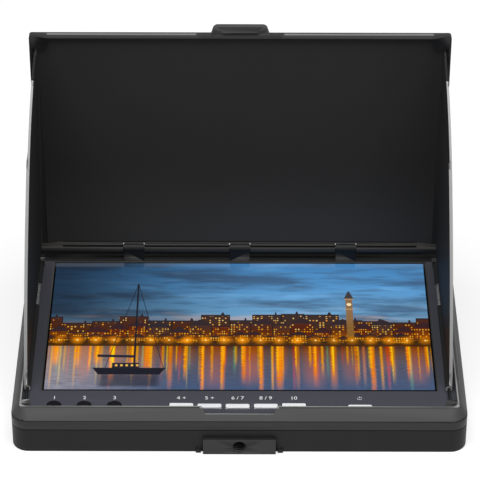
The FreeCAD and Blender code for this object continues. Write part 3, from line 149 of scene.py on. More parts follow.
class Finish:
    """A material whose surface is worked out from its place on the piece."""

    def __init__(self, name):
        self.material = bpy.data.materials.new(name)
        self.material.use_nodes = True
        self.tree = self.material.node_tree
        self.tree.nodes.clear()
        self.place = self.node("TexCoord", out="Object")

    def node(self, kind, settings=None, sockets=None, out=0):
        """One node: its settings come first, then the values or links of its sockets."""
        made = self.tree.nodes.new("ShaderNode" + kind)
        for name, value in (settings or {}).items():
            if name == "stops":
                self.fill_ramp(made.color_ramp, value)
            else:
                setattr(made, name, value)
        for name, value in (sockets or {}).items():
            if isinstance(value, Value):
                self.tree.links.new(value.socket, made.inputs[name])
            else:
                made.inputs[name].default_value = value
        return Value(self, made.outputs[out]) if made.outputs else None

    def fill_ramp(self, ramp, stops):
        """Give a ramp its stops, each a position and a colour."""
        while len(ramp.elements) < len(stops):
            ramp.elements.new(1.0)
        for element, (position, colour) in zip(ramp.elements, stops):
            element.position = position
            element.color = (*colour, 1.0)

    def ramp(self, value, stops):
        return self.node("ValToRGB", {"stops": stops}, {"Fac": value}, "Color")

    def smooth(self, value, low, high):
        """0 below low, 1 above high and an even change between them."""
        settings = {"interpolation_type": "SMOOTHSTEP", "clamp": True}
        sockets = {"Value": value, "From Min": low, "From Max": high}
        return self.node("MapRange", settings, sockets)

    def fade(self, value, low, high):
        """1 below low, 0 above high and an even change between them."""
        return 1 - self.smooth(value, low, high)

    def between(self, value, low, high, edge):
        """1 inside a stretch and 0 outside it, with soft edges."""
        return self.smooth(value, low - edge, low + edge) * self.fade(value, high - edge, high + edge)

    def axis(self, number):
        """The place along X, Y or Z."""
        return self.node("SeparateXYZ", None, {0: self.place}, number)

    def marked(self):
        """1 on the faces that were marked for a painted highlight."""
        return self.node("Attribute", {"attribute_name": "free_edge"}, None, "Fac")

    def mix(self, factor, first, second):
        """The first colour where factor is 0, the second where it is 1."""
        first = first if isinstance(first, Value) else (*first, 1.0)
        second = second if isinstance(second, Value) else (*second, 1.0)
        return self.node("Mix", {"data_type": "RGBA"}, {0: factor, 6: first, 7: second}, 2)

    def light(self, base, factor, colour):
        """A colour with another added to it, by a factor."""
        settings = {"data_type": "RGBA", "blend_type": "ADD", "clamp_result": True}
        return self.node("Mix", settings, {0: factor, 6: base, 7: (*colour, 1.0)}, 2)

    def stretched(self, x, y, z):
        """The place on the piece, multiplied along each axis."""
        return self.node("Mapping", None, {"Vector": self.place, "Scale": (x, y, z)})

    def noise(self, vector, scale, detail=2.0):
        return self.node("TexNoise", None, {"Vector": vector, "Scale": scale, "Detail": detail})

    def bump(self, height, strength, distance):
        sockets = {"Height": height, "Strength": strength, "Distance": distance}
        return self.node("Bump", None, sockets)

    def surface(self, **sockets):
        """The material's shader, with the sockets of a Principled shader by name."""
        named = {}
        for name, value in sockets.items():
            colour = isinstance(value, tuple)
            named[name.replace("_", " ")] = (*value, 1.0) if colour else value
        shader = self.node("BsdfPrincipled", None, named)
        self.node("OutputMaterial", None, {"Surface": shader})
        return self.material


def scaled(colour, factor):
    return tuple(part * factor for part in colour)


def plastic(name, colour, roughness, grain=0.35, specular=0.5, paint=None):
    """Moulded plastic: a fine spark-eroded grain, slightly uneven in colour and gloss."""
    finish = Finish(name)
    clouds = finish.noise(finish.place, 45.0, 3.0)
    grains = finish.noise(finish.place, 2600.0, 1.0)
    pits = finish.noise(finish.place, 900.0, 2.0)
    tone = finish.mix(clouds * 0.7 + grains * 0.3, scaled(colour, 0.82), scaled(colour, 1.2))
    gloss = roughness - 0.06 + clouds * 0.08 + grains * 0.05
    if paint:
        tone = paint(finish, tone)
    normal = finish.bump(grains * 0.7 + pits * 0.3, grain, 0.02 * MM)
    return finish.surface(Base_Color=tone, Roughness=gloss, Normal=normal, Specular_IOR_Level=specular)


def painted_edge_highlight(colour):
    """Paler free edges: a painted highlight where the edges catch the light."""
    return lambda finish, tone: finish.mix(finish.marked(), tone, colour)


def hood_tones(finish, tone):
    """The lid: a lower part painted lighter as painted light, two grooves painted dark as painted shade, a
    paler tab and a painted highlight along the top edge.
    """
    x, y, z = (finish.axis(number) for number in range(3))
    inside = y < LID_FACE + 2.0 * MM
    # Painted light: the inner face is painted lighter towards its foot.
    tone = finish.mix(finish.fade(z, FOOT_LOW, FOOT_HIGH) * inside, tone, FOOT_LIGHT_TONE)
    ends = finish.fade(x.size(), GROOVE_END, GROOVE_END + 0.4 * MM)
    # Painted shade: the two grooves are painted near black.
    for middle in GROOVES:
        groove = finish.between(z, middle - GROOVE_HALF, middle + GROOVE_HALF, 0.06 * MM)
        tone = finish.mix(groove * ends * inside, tone, GROOVE_SHADE_TONE)
    tab = finish.smooth(z, LID_EDGE, LID_EDGE + 0.3 * MM)
    tab = tab * finish.fade(x.size(), TAB_HALF, TAB_HALF + 0.4 * MM)
    tone = finish.mix(tab, tone, TAB_TONE)
    # Painted highlight: a pale line on the marked top edge of the lid.
    line = finish.between(y, *EDGE_LINE, 0.1 * MM)
    stretch = finish.between(x.size(), *EDGE_STRETCH, 0.3 * MM)
    return finish.mix(finish.marked() * line * stretch, tone, TOP_EDGE_HIGHLIGHT_TONE)


def frame_tones(finish, tone):
    """The front shell: a bluish bezel, painted shadow lines where shells meet, painted shade over the hinge
    and a painted highlight along the rim.
    """
    x, y, z = (finish.axis(number) for number in range(3))
    plate = finish.between(z, BEZEL - 0.2 * MM, BEZEL + 0.2 * MM, 0.05 * MM)
    within = finish.fade(x.size(), RECESS_HALF, RECESS_HALF + 0.3 * MM) * (y > RECESS_FRONT)
    tone = finish.mix(plate * within, tone, BEZEL_TONE)
    # Painted shade: the frame behind the hinge line, under the lid, is painted darker.
    tone = finish.mix(finish.smooth(y, HINGE_FRONT, HINGE_FRONT + 0.4 * MM), tone, HINGE_SHADE_TONE)
    # Painted shadow lines along the seams below the bevel and at the split.
    for low, high in SHADOW_LINES:
        line = finish.between(z, low, high, 0.05 * MM)
        tone = finish.mix(line * (1 - within) * 0.75, tone, SHADOW_TONE)
    outside = (x.size() - RECESS_HALF).greater(RECESS_FRONT - y)
    band = finish.fade(outside, RIM_LINE, RIM_LINE + 0.2 * MM)
    notch = finish.fade(x.size(), NOTCH_HALF, NOTCH_HALF + 0.3 * MM)
    # Painted highlight: the marked top of the rim is painted pale, where its edge catches the light.
    return finish.mix(finish.marked() * band.greater(notch), tone, RIM_HIGHLIGHT_TONE)


def metal(name, colour, roughness, stretch=(1.0, 1.0, 1.0)):
    """Bare or plated metal with fine drawn lines and dull patches."""
    finish = Finish(name)
    lines = finish.noise(finish.stretched(*stretch), 900.0, 3.0)
    patches = finish.noise(finish.place, 120.0, 2.0)
    tone = finish.mix(patches, scaled(colour, 0.78), colour)
    gloss = roughness + lines * 0.12 + patches * 0.08
    normal = finish.bump(lines, 0.15, 0.02 * MM)
    return finish.surface(Base_Color=tone, Roughness=gloss, Metallic=1.0, Normal=normal)


def circuit(name, colour):
    """Solder mask over copper tracks, with bright pads."""
    finish = Finish(name)
    edges = {"feature": "DISTANCE_TO_EDGE"}
    cells = finish.node("TexVoronoi", edges, {"Vector": finish.place, "Scale": 420.0})
    tracks = finish.smooth(cells, 0.04, 0.08)
    dots = finish.node("TexVoronoi", None, {"Vector": finish.place, "Scale": 700.0})
    pads = finish.fade(dots, 0.16, 0.2)
    tone = finish.mix(tracks, scaled(colour, 1.7), colour)
    tone = finish.mix(pads * 0.8, tone, (0.6, 0.5, 0.3))
    normal = finish.bump(tracks, 0.3, 0.03 * MM)
    return finish.surface(Base_Color=tone, Roughness=0.35, Metallic=pads * 0.8, Normal=normal)


# The picture on the screen, in millimetres from its middle and its foot
PICTURE_HALF = 77.04
PICTURE_HIGH = 85.92
PICTURE_FOOT = GLASS_LOW.y / MM + 0.6
WATERLINE = 30.0
QUAY_FOOT = WATERLINE - 1.5
TOWER_X = 45.0
TOWER_TOP = 61.0
CLOCK_HEIGHT = 57.0
LAMP_PITCH = 7.4
LAMP_SHIFT = 0.35
LAMP_HEIGHT = WATERLINE + 2.4
BOAT_X = -44.0
DECK = 14.0
MAST_X = 2.0
MAST_TOP = 71.0
STAY_SLOPE = 4.9
HULL_TONE = (0.012, 0.013, 0.02)

SKY_TONES = (
    (0.0, (0.62, 0.36, 0.20)),
    (0.14, (0.42, 0.42, 0.42)),
    (0.34, (0.16, 0.38, 0.62)),
    (0.7, (0.09, 0.30, 0.60)),
    (1.0, (0.05, 0.20, 0.44)),
)
WATER_TONES = (
    (0.0, (0.05, 0.022, 0.015)),
    (0.12, (0.14, 0.075, 0.045)),
    (0.45, (0.11, 0.11, 0.14)),
    (1.0, (0.09, 0.13, 0.22)),
)
# Rows of houses: width, lowest roof, spread, gable, seed, two walls, light from below, dark windows
HOUSES = (
    (11.0, 41.0, 11.0, 0.0, 3.0, (0.04, 0.025, 0.022), (0.07, 0.022, 0.012), (0.16, 0.045, 0.008), 0.7),
    (8.3, 37.5, 7.5, 3.2, 11.0, (0.12, 0.018, 0.006), (0.06, 0.035, 0.028), (0.40, 0.10, 0.006), 0.5),
    (5.9, 33.5, 3.5, 1.8, 17.0, (0.05, 0.014, 0.005), (0.14, 0.035, 0.008), (0.5, 0.16, 0.01), 0.45),
)
# Beams on the water: pitch, shift, seed, thinnest, widest, colour, power
BEAMS = (
    (13.7, 0.2, 41.0, 3.0, 6.5, (0.30, 0.075, 0.015), 0.9),
    (LAMP_PITCH, LAMP_SHIFT, 51.0, 0.9, 2.2, (1.0, 0.30, 0.0), 1.0),
    (LAMP_PITCH, LAMP_SHIFT, 53.0, 0.3, 0.7, (0.6, 0.45, 0.05), 0.9),
    (4.9, 0.8, 61.0, 0.4, 0.9, (0.9, 0.42, 0.02), 0.8),
    (9.1, 0.1, 71.0, 0.5, 1.0, (0.6, 0.07, 0.05), 0.7),
    (17.3, 0.6, 81.0, 0.5, 1.1, (0.05, 0.3, 0.12), 0.6),
)


class Harbour(Finish):
    """A lit harbour at dusk, painted from the sky to the boat in front."""

    def __init__(self):
        super().__init__("screen_picture")
        self.across = self.axis(0) * 1000.0
        self.height = self.axis(1) * 1000.0 - PICTURE_FOOT
        self.scene = self.sky()
        for row in HOUSES:
            self.houses(*row)
        self.clock_tower()
        self.quay()
        self.street_lamps()
        self.water()
        self.boat()

    def plane(self, x, y):
        return self.node("CombineXYZ", None, {0: x, 1: y})

    def cloud(self, x, y, detail):
        """Uneven patches over a plane."""
        return self.noise(self.plane(x, y), 1.0, detail)

    def chance(self, x, y=0.0):
        """A steady random number for a pair of whole numbers."""
        return self.node("TexWhiteNoise", {"noise_dimensions": "2D"}, {"Vector": self.plane(x, y)})

    def above(self, level):
        return self.smooth(self.height - level, -0.12, 0.12)

    def stands(self, low, high, edge):
        """1 between two heights."""
        return self.between(self.height, low, high, edge)

    def paint(self, mask, colour):
        self.scene = self.mix(mask, self.scene, colour)

    def sky(self):
        """Streaky clouds, a warm low band, night from the left and a dark ridge."""
        across, height = self.across, self.height
        level = (height - WATERLINE) / (PICTURE_HIGH - WATERLINE)
        sky = self.ramp(level, SKY_TONES)
        streaks = self.cloud(across * 0.016 + height * 0.012, height * 0.075, 7.0)
        sky = self.mix(self.smooth(streaks, 0.46, 0.62) * 0.75, sky, (0.04, 0.075, 0.14))
        fine = self.cloud(across * 0.05 + height * 0.03, height * 0.35, 8.0)
        sky = self.mix(self.smooth(fine, 0.5, 0.66) * 0.45, sky, (0.05, 0.10, 0.19))
        veils = self.cloud(across * 0.03 + 7.0, height * 0.2, 6.0)
        sky = self.light(sky, self.smooth(veils, 0.5, 0.75) * 0.6, (0.07, 0.14, 0.2))
        low_veils = self.smooth(veils, 0.48, 0.62) * self.fade(level, 0.05, 0.5)
        sky = self.mix(low_veils * 0.8, sky, (0.8, 0.42, 0.2))
        night = self.fade(across, -80.0, 25.0) * self.smooth(level, -0.3, 0.5)
        sky = self.mix(night * 0.92, sky, (0.006, 0.012, 0.025))
        ridge = self.cloud(across * 0.025, 3.0, 4.0) * 15.0 + (WATERLINE + 4.5)
        return self.mix(self.above(ridge), (0.018, 0.025, 0.045), sky)

    def houses(self, width, lowest, spread, gable, seed, wall, other_wall, lit, dark):
        """A row of houses over the water, each as high as chance has it."""
        step = self.across / width + seed + self.cloud(self.across * 0.06, seed, 1.0) * 0.9
        number = step.floor()
        part = step.fraction()
        roof = lowest + self.chance(number, seed) * spread
        pitched = self.chance(number, seed + 5.0) > 0.35
        peak = (1 - (part * 2.0 - 1.0).size()) * gable * pitched
        chimney = self.between(part, 0.68, 0.76, 0.02) * 1.6
        face = self.mix(self.chance(number, seed + 9.0), wall, other_wall)
        glow_low = self.fade(self.height, WATERLINE - 1.0, lowest + spread * 0.6)
        face = self.mix(glow_low * (self.chance(number, seed + 3.0) * 0.8 + 0.2), face, lit)
        joint = 1 - self.between(part, 0.035, 0.965, 0.02)
        face = self.mix(joint * 0.7, face, (0.012, 0.008, 0.008))
        eaves = self.between(self.height - roof, -0.9, 4.0, 0.15)
        face = self.mix(eaves * 0.8, face, (0.022, 0.018, 0.024))
        face = self.windows(face, step * (width / 1.05), seed, dark, 1 - self.above(roof - 1.1))
        self.paint(1 - self.above(roof + peak.greater(chimney)), face)

    def windows(self, face, column, seed, dark, under_roof):
        """A wall with windows, of which chance lights some."""
        storey = self.height / 1.5
        glow = self.chance(column.floor() + 3.0, storey.floor() + seed)
        pane = self.between(column.fraction(), 0.27, 0.73, 0.12)
        pane = pane * self.between(storey.fraction(), 0.25, 0.75, 0.12)
        pane = pane * (glow > dark) * under_roof
        warmth = self.chance(column.floor(), storey.floor() + seed + 2.0)
        window = self.mix(warmth, (1.0, 0.36, 0.05), (1.0, 0.78, 0.32))
        return self.mix(pane * (glow * 0.8 + 0.2), face, window)

    def clock_tower(self):
        """A lit stone tower with two ledges, a clock and a pointed cap."""
        aside = (self.across - TOWER_X).size()
        stones = self.cloud(self.across * 2.0, self.height * 1.4, 3.0)
        stone = self.mix(stones, (0.10, 0.05, 0.02), (0.42, 0.24, 0.11))
        self.paint(self.fade(aside, 1.3, 1.5) * self.stands(WATERLINE, TOWER_TOP, 0.1), stone)
        ledges = self.stands(53.4, 54.0, 0.1).greater(self.stands(TOWER_TOP - 0.6, TOWER_TOP, 0.1))
        self.paint(self.fade(aside, 1.8, 1.95) * ledges, (0.5, 0.32, 0.16))
        slope = aside + (self.height - TOWER_TOP) * 0.33
        cap = self.fade(slope, 1.9, 2.1) * self.stands(TOWER_TOP, TOWER_TOP + 5.0, 0.1)
        self.paint(cap, (0.05, 0.045, 0.05))
        dial = ((self.across - TOWER_X) ** 2.0 + (self.height - CLOCK_HEIGHT) ** 2.0) ** 0.5
        self.paint(self.fade(dial, 0.85, 1.05), (1.0, 0.82, 0.5))
        hands = self.stands(CLOCK_HEIGHT - 0.1, CLOCK_HEIGHT + 0.7, 0.08)
        self.paint(hands * self.fade(aside, 0.05, 0.12), (0.03, 0.02, 0.015))

    def quay(self):
        """Trees in groups, and a brick quay below them."""
        crowns = self.cloud(self.across * 0.42, self.height * 0.5 + 9.0, 4.0) * 5.2
        trees = 1 - self.above(crowns + (WATERLINE - 0.4))
        groups = self.smooth(self.cloud(self.across * 0.07, 5.0, 2.0), 0.42, 0.5)
        self.paint(trees * groups, (0.02, 0.018, 0.010))
        bricks = self.cloud(self.across * 0.9, self.height * 2.6, 3.0)
        brickwork = self.mix(bricks, (0.012, 0.008, 0.006), (0.10, 0.045, 0.02))
        self.paint(self.stands(WATERLINE - 1.6, WATERLINE + 0.7, 0.1), brickwork)

    def street_lamps(self):
        """Lamps at even steps along the quay, each in its halo."""
        step = self.across / LAMP_PITCH + LAMP_SHIFT
        aside = (step.fraction() - 0.5) * LAMP_PITCH
        far = (aside ** 2.0 + (self.height - LAMP_HEIGHT) ** 2.0) ** 0.5
        halo = self.fade(far, 0.0, 5.0) ** 2.0
        power = self.chance(step.floor(), 31.0) * 0.7 + 0.3
        self.scene = self.light(self.scene, halo * power, (1.0, 0.36, 0.05))
        self.paint(self.fade(far, 0.3, 0.6), (1.0, 0.82, 0.42))

    def water(self):
        """Rippled water with the beams of the lamps and windows on it."""
        depth = (QUAY_FOOT - self.height) / QUAY_FOOT
        ripple = self.cloud(self.across * 0.16, self.height * 2.2, 4.0)
        self.sway = (ripple - 0.5) * 1.3
        water = self.ramp(depth, WATER_TONES)
        water = self.light(water, self.fade(self.across, -80.0, -20.0), (0.22, 0.18, 0.15))
        water = self.mix(self.smooth(ripple, 0.42, 0.62) * 0.35, water, (0.05, 0.05, 0.09))
        broken = 0.55 + self.smooth(ripple, 0.35, 0.6) * 0.45
        for *places, colour, power in BEAMS:
            streak, strength = self.beam(depth, *places)
            water = self.light(water, streak * broken * strength * power, colour)
        shore = self.smooth(self.height, WATERLINE - 1.75, WATERLINE - 1.55)
        self.scene = self.mix(shore, water, self.scene)

    def beam(self, depth, pitch, shift, seed, thin, wide):
        """Long upright streaks of light, and how strong chance has each one."""
        step = (self.across + self.sway) / pitch + shift
        number = step.floor()
        off_middle = (self.chance(number, seed) - 0.5) * pitch * 0.3
        aside = ((step.fraction() - 0.5) * pitch + off_middle).size()
        width = thin + self.chance(number, seed + 1.0) * (wide - thin)
        reach = 0.45 + self.chance(number, seed + 2.0) * 0.75
        streak = self.fade(aside / width, 0.15, 1.0) * self.fade(depth / reach, 0.55, 1.1)
        return streak, self.chance(number, seed + 3.0) * 0.6 + 0.4

    def boat(self):
        """A dark sailing boat at anchor, with lit ports and its shadow on the water."""
        along = self.across - BOAT_X
        hull_half = 13.0 + (self.height - 11.0) * 0.55
        hull = self.fade(along.size() - hull_half, -0.2, 0.2) * self.stands(9.6, DECK, 0.15)
        self.paint(hull, HULL_TONE)
        cabin = self.fade((along + 1.5).size(), 5.3, 5.6) * self.stands(DECK - 0.2, 17.2, 0.15)
        self.paint(cabin, (0.02, 0.02, 0.03))
        ports = self.between((along / 2.1).fraction(), 0.3, 0.75, 0.08)
        self.paint(ports * cabin * self.stands(15.0, 16.2, 0.1), (0.95, 0.62, 0.25))
        from_mast = along - MAST_X
        self.paint(self.fade(from_mast.size(), 0.3, 0.45) * self.stands(13.0, MAST_TOP, 0.2), HULL_TONE)
        boom = self.fade((self.height - (21.5 + along * -0.03)).size(), 0.7, 0.95)
        self.paint(boom * self.between(along, -13.0, MAST_X, 0.2), (0.02, 0.022, 0.035))
        run = (MAST_TOP - self.height) / STAY_SLOPE
        for off_stay in (from_mast + run, from_mast - run):
            stay = self.fade(off_stay.size(), 0.1, 0.22) * self.stands(DECK, MAST_TOP, 0.1)
            self.paint(stay * 0.85, HULL_TONE)
        shadow = self.fade(along.size() + self.sway * 2.0, 10.0, 14.0) * self.stands(2.0, 9.8, 1.2)
        self.paint(shadow * 0.7, (0.02, 0.02, 0.03))

    def screen(self):
        """The glass: the picture glows in its frame, on the glass's upper face alone."""
        rich = {"Saturation": 1.22, "Value": 0.93, "Color": self.scene}
        town = self.fade(self.height, WATERLINE + 8.0, WATERLINE + 22.0)
        self.paint(town, self.node("HueSaturation", None, rich))
        inside = self.between(self.across, -PICTURE_HALF, PICTURE_HALF, 0.03)
        inside = inside * self.stands(0.0, PICTURE_HIGH, 0.03)
        facing = self.axis(2) > GLASS_HIGH.z - 0.05 * MM
        glow = self.mix(inside * facing, (0.0, 0.0, 0.0), self.scene)
        return self.surface(Base_Color=(0.004, 0.004, 0.005), Roughness=0.15, Emission_Color=glow,
                            Emission_Strength=1.0, Specular_IOR_Level=0.25)


# Making pieces
def only(piece):
    """Select one object alone and make it the active one."""
    bpy.ops.object.select_all(action="DESELECT")
    piece.select_set(True)
    bpy.context.view_layer.objects.active = piece


def edit_all(*steps):
    """Take steps in edit mode, each with the whole mesh selected."""
    bpy.ops.object.mode_set(mode="EDIT")
    for step, settings in steps:
        bpy.ops.mesh.select_all(action="SELECT")
        step(**settings)
    bpy.ops.object.mode_set(mode="OBJECT")


def apply_modifiers(piece):
    only(piece)
    for modifier in list(piece.modifiers):
        bpy.ops.object.modifier_apply(modifier=modifier.name)


def settle(piece, name, body, material, smooth=35.0):
    """Finish a piece: its name, material, smoothing and body, with its place in its mesh."""
    only(piece)
    bpy.ops.object.transform_apply(location=True, rotation=True, scale=True)
    piece.name = name
    piece.data.name = name
    piece.data.materials.clear()
    piece.data.materials.append(material)
    bpy.ops.object.shade_smooth_by_angle(angle=math.radians(smooth))
    flat = piece.modifiers.new("Flat faces", "WEIGHTED_NORMAL")
    flat.keep_sharp = True
    apply_modifiers(piece)
    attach(piece, body)
    return piece


def mark_highlight_faces(piece, is_edge):
    """Mark the faces that a test of centre and normal picks, for a painted highlight."""
    marks = piece.data.attributes.new("free_edge", "FLOAT", "FACE")
    for face in piece.data.polygons:
        marks.data[face.index].value = 1.0 if is_edge(face.center / MM, face.normal) else 0.0


def dressed(node, name, body, material, round_edge=0.0):
    """A copy of a solid with its facets joined and its corners smoothed, which stands for it."""
    mesh = nodes[node].data.copy()
    piece = bpy.data.objects.new(name, mesh)
    bpy.context.scene.collection.objects.link(piece)
    only(piece)
    edit_all((bpy.ops.mesh.remove_doubles, {"threshold": 0.002 * MM}))
    if round_edge:
        bevel = piece.modifiers.new("Edges", "BEVEL")
        bevel.width = round_edge
        bevel.segments = 2
        bevel.limit_method = "ANGLE"
        bevel.angle_limit = math.radians(60.0)
        apply_modifiers(piece)
    settle(piece, name, body, material)
    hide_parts(node)
    return piece


def finish_node(node, material):
    """Give a solid that stays as it is its material."""
    for place in nodes[node].material_slots:
        place.material = material


# The materials
# Painted highlight on the flaps' front edges.
FLAP_EDGE_HIGHLIGHT = painted_edge_highlight((0.42, 0.42, 0.42))
CASE_BLACK = plastic("case_black", (0.022, 0.022, 0.022), 0.5, specular=0.17)
FRAME_BLACK = plastic("frame_black", (0.052, 0.052, 0.052), 0.45, specular=0.18, paint=frame_tones)
HOOD_BLACK = plastic("hood_black", (0.026, 0.026, 0.026), 0.6, specular=0.17, paint=hood_tones)
FLAP_BLACK = plastic("flap_black", (0.02, 0.02, 0.02), 0.6, specular=0.12, paint=FLAP_EDGE_HIGHLIGHT)
KEY_SILVER = plastic("key_silver", (0.85, 0.86, 0.88), 0.3, grain=0.1)
WINDOW_SMOKE = plastic("window_smoke", (0.012, 0.012, 0.015), 0.12, grain=0.05)
BLOCK_BLACK = metal("block_black", (0.055, 0.055, 0.056), 0.4)
SCREW_BLACK = metal("screw_black", (0.2, 0.2, 0.205), 0.3)
BRIGHT_STEEL = metal("bright_steel", (0.6, 0.6, 0.62), 0.25, (1.0, 0.05, 1.0))
BLACK_STEEL = metal("black_steel", (0.05, 0.05, 0.052), 0.3, (1.0, 0.05, 1.0))
SPRING_STEEL = metal("spring_steel", (0.2, 0.2, 0.2), 0.25)
GOLD = metal("gold_plate", (0.9, 0.62, 0.22), 0.22)
JACK_BLACK = plastic("jack_black", (0.02, 0.02, 0.02), 0.4)
CELL_FOIL = metal("cell_foil", (0.62, 0.63, 0.65), 0.35)
BOARD_GREEN = circuit("board_green", (0.02, 0.10, 0.045))
CHIP_BLACK = plastic("chip_black", (0.015, 0.015, 0.015), 0.55)
GUIDE_CLEAR = plastic("guide_clear", (0.75, 0.77, 0.78), 0.2, grain=0.05)
RIBBON_AMBER = plastic("ribbon_amber", (0.5, 0.24, 0.04), 0.3, grain=0.1)
LAMP_WHITE = plastic("lamp_white", (0.8, 0.78, 0.65), 0.3, grain=0.05)
LEAD_GREY = plastic("lead_grey", (0.12, 0.12, 0.12), 0.5)
MARK_WHITE = plastic("mark_white", (0.75, 0.76, 0.78), 0.5, grain=0.05)

# The case, the hood, the screen and the keys
dressed("rear_case", "rear_shell", "case", CASE_BLACK)
front_shell = dressed("front_frame", "front_shell", "case", FRAME_BLACK)
lid_shell = dressed("lid", "hood_lid_shell", "hood_lid", HOOD_BLACK)
left_plate = dressed("flap_left", "left_flap_plate", "left_flap", FLAP_BLACK)
right_plate = dressed("flap_right", "right_flap_plate", "right_flap", FLAP_BLACK)


def is_rim(place, normal):
    """The top of the rim round the recess."""
    beside = place.y < GLASS_LOW.y / MM - 13.0 or abs(place.x) > GLASS_HIGH.x / MM + 6.0
    return normal.z > 0.9 and place.z > BEZEL / MM + 1.5 and beside


def is_lid_top(place, normal):
    """The lid's top edge and its tab's."""
    return normal.z > 0.6 and place.z > LID_TOP / MM - 7.0


def is_flap_front(place, normal):
    """A flap's curved front edge."""
    return normal.y < -0.3 and abs(normal.x) < 0.8


# Faces that get a painted highlight: the rim's top, the lid's top edge and the flaps' front edges.
mark_highlight_faces(front_shell, is_rim)
mark_highlight_faces(lid_shell, is_lid_top)
mark_highlight_faces(left_plate, is_flap_front)
mark_highlight_faces(right_plate, is_flap_front)

dressed("display_glass", "screen", "case", Harbour().screen(), 0.1 * MM)
for key in ("key_far_left", "key_left", "key_middle", "key_right", "key_far_right", "key_power"):
    dressed(key, key + "_cap", key + "_cap", KEY_SILVER)
dressed("tripod_block", "tripod_mount", "case", BLOCK_BLACK)

# Solids that stay as they are
for node, material in (
    ("display_tray", BRIGHT_STEEL),
    ("light_guide", GUIDE_CLEAR),
    ("light_strip", LAMP_WHITE),
    ("display_ribbon", RIBBON_AMBER),
    ("main_board", BOARD_GREEN),
    ("board_chips", CHIP_BLACK),
    ("receiver_modules", BRIGHT_STEEL),
    ("battery_cells", CELL_FOIL),
    ("button_board", BOARD_GREEN),
    ("key_switches", CHIP_BLACK),
    ("status_lamps", LAMP_WHITE),
    ("lamp_windows", WINDOW_SMOKE),
    ("case_screws", SCREW_BLACK),
    ("board_screws", BRIGHT_STEEL),
    ("button_board_screws", BRIGHT_STEEL),
    ("tripod_block_screws", BRIGHT_STEEL),
    ("audio_jacks", JACK_BLACK),
    ("power_jack", JACK_BLACK),
    ("power_jack_pin", GOLD),
    ("card_socket", BRIGHT_STEEL),
    ("antenna_sockets", GOLD),
    ("antenna_nuts", GOLD),
    ("antenna_leads", LEAD_GREY),
    ("lid_rod", BLACK_STEEL),
    ("flap_pins", BLACK_STEEL),
    ("flap_springs", SPRING_STEEL),
):
    finish_node(node, material)

# Threads, which the solids leave as plain cylinders
ROUND = (math.radians(90.0), 0.0, 0.0)
TRIPOD_THREAD = {"radius": 2.72 * MM, "pitch": 1.27 * MM, "turns": 6, "ridge": 0.28 * MM}
ANTENNA_THREAD = {"radius": 3.1 * MM, "pitch": 0.7 * MM, "turns": 9, "ridge": 0.2 * MM}
THREAD_STEPS = 24
RIDGE_SIDES = 6
SOCKET_AXIS = 58.0 * MM
SOCKET_MIDDLE = 5.6 * MM


def thread(name, slot, material, start, radius, pitch, turns, ridge):
    """A ridge that winds round an axis along Y, from a start towards the rear."""
    bpy.ops.object.select_all(action="DESELECT")
    bpy.ops.mesh.primitive_circle_add(vertices=RIDGE_SIDES, radius=ridge, fill_type="NOTHING",
                                      location=(radius, 0.0, 0.0), rotation=ROUND)
    piece = bpy.context.object
    bpy.ops.object.transform_apply(location=True, rotation=True, scale=True)
    winding = piece.modifiers.new("Winding", "SCREW")
    winding.axis = "Z"
    winding.screw_offset = pitch
    winding.iterations = turns
    winding.steps = THREAD_STEPS
    winding.render_steps = THREAD_STEPS
    apply_modifiers(piece)
    edit_all((bpy.ops.mesh.fill_holes, {"sides": RIDGE_SIDES}),
             (bpy.ops.mesh.normals_make_consistent, {"inside": False}))
    piece.rotation_euler = (math.radians(-90.0), 0.0, 0.0)
    piece.location = start
    return settle(piece, name, "case", material, 60.0)


mouth = (0.0, BLOCK_LOW.y + 0.6 * MM, BLOCK_MIDDLE)
thread("tripod_thread", "block_zinc", BLOCK_BLACK, mouth, **TRIPOD_THREAD)
for side, name in ((-1, "left"), (1, "right")):
    start = (side * SOCKET_AXIS, SOCKET_END - 7.2 * MM, SOCKET_MIDDLE)
    thread("antenna_thread_" + name, "gold_brass", GOLD, start, **ANTENNA_THREAD)

# Marks printed on the bezel: plain numbers and signs
MARK_THICK = 0.02 * MM
MARK_LEVEL = BEZEL + MARK_THICK
MARK_Y = -44.8 * MM
MARK_SIZE = 1.9 * MM
FONT_SCALE = 1.45
MARKS = (
    ("1", -72.5),
    ("2", -60.7),
    ("3", -48.9),
    ("4 +", -22.7),
    ("5 +", -11.7),
    ("6 / 7", -0.7),
    ("8 / 9", 10.3),
    ("10", 21.3),
)
SIGN_RADIUS = 0.85 * MM
SIGN_LINE = 0.17 * MM
SIGN_TURN = 290.0
SIGN_BAR = (0.26 * MM, 0.95 * MM, MARK_THICK * 2)


def mark(text, x, y, height):
    """A printed number or sign, a thin solid on the bezel."""
    bpy.ops.object.select_all(action="DESELECT")
    bpy.ops.object.text_add(location=(x, y, MARK_LEVEL))
    letters = bpy.context.object
    letters.data.body = text
    letters.data.size = height * FONT_SCALE
    letters.data.align_x = "CENTER"
    letters.data.align_y = "CENTER"
    letters.data.extrude = MARK_THICK
    letters.data.offset = 0.02 * MM
    bpy.ops.object.convert(target="MESH")
    return bpy.context.object


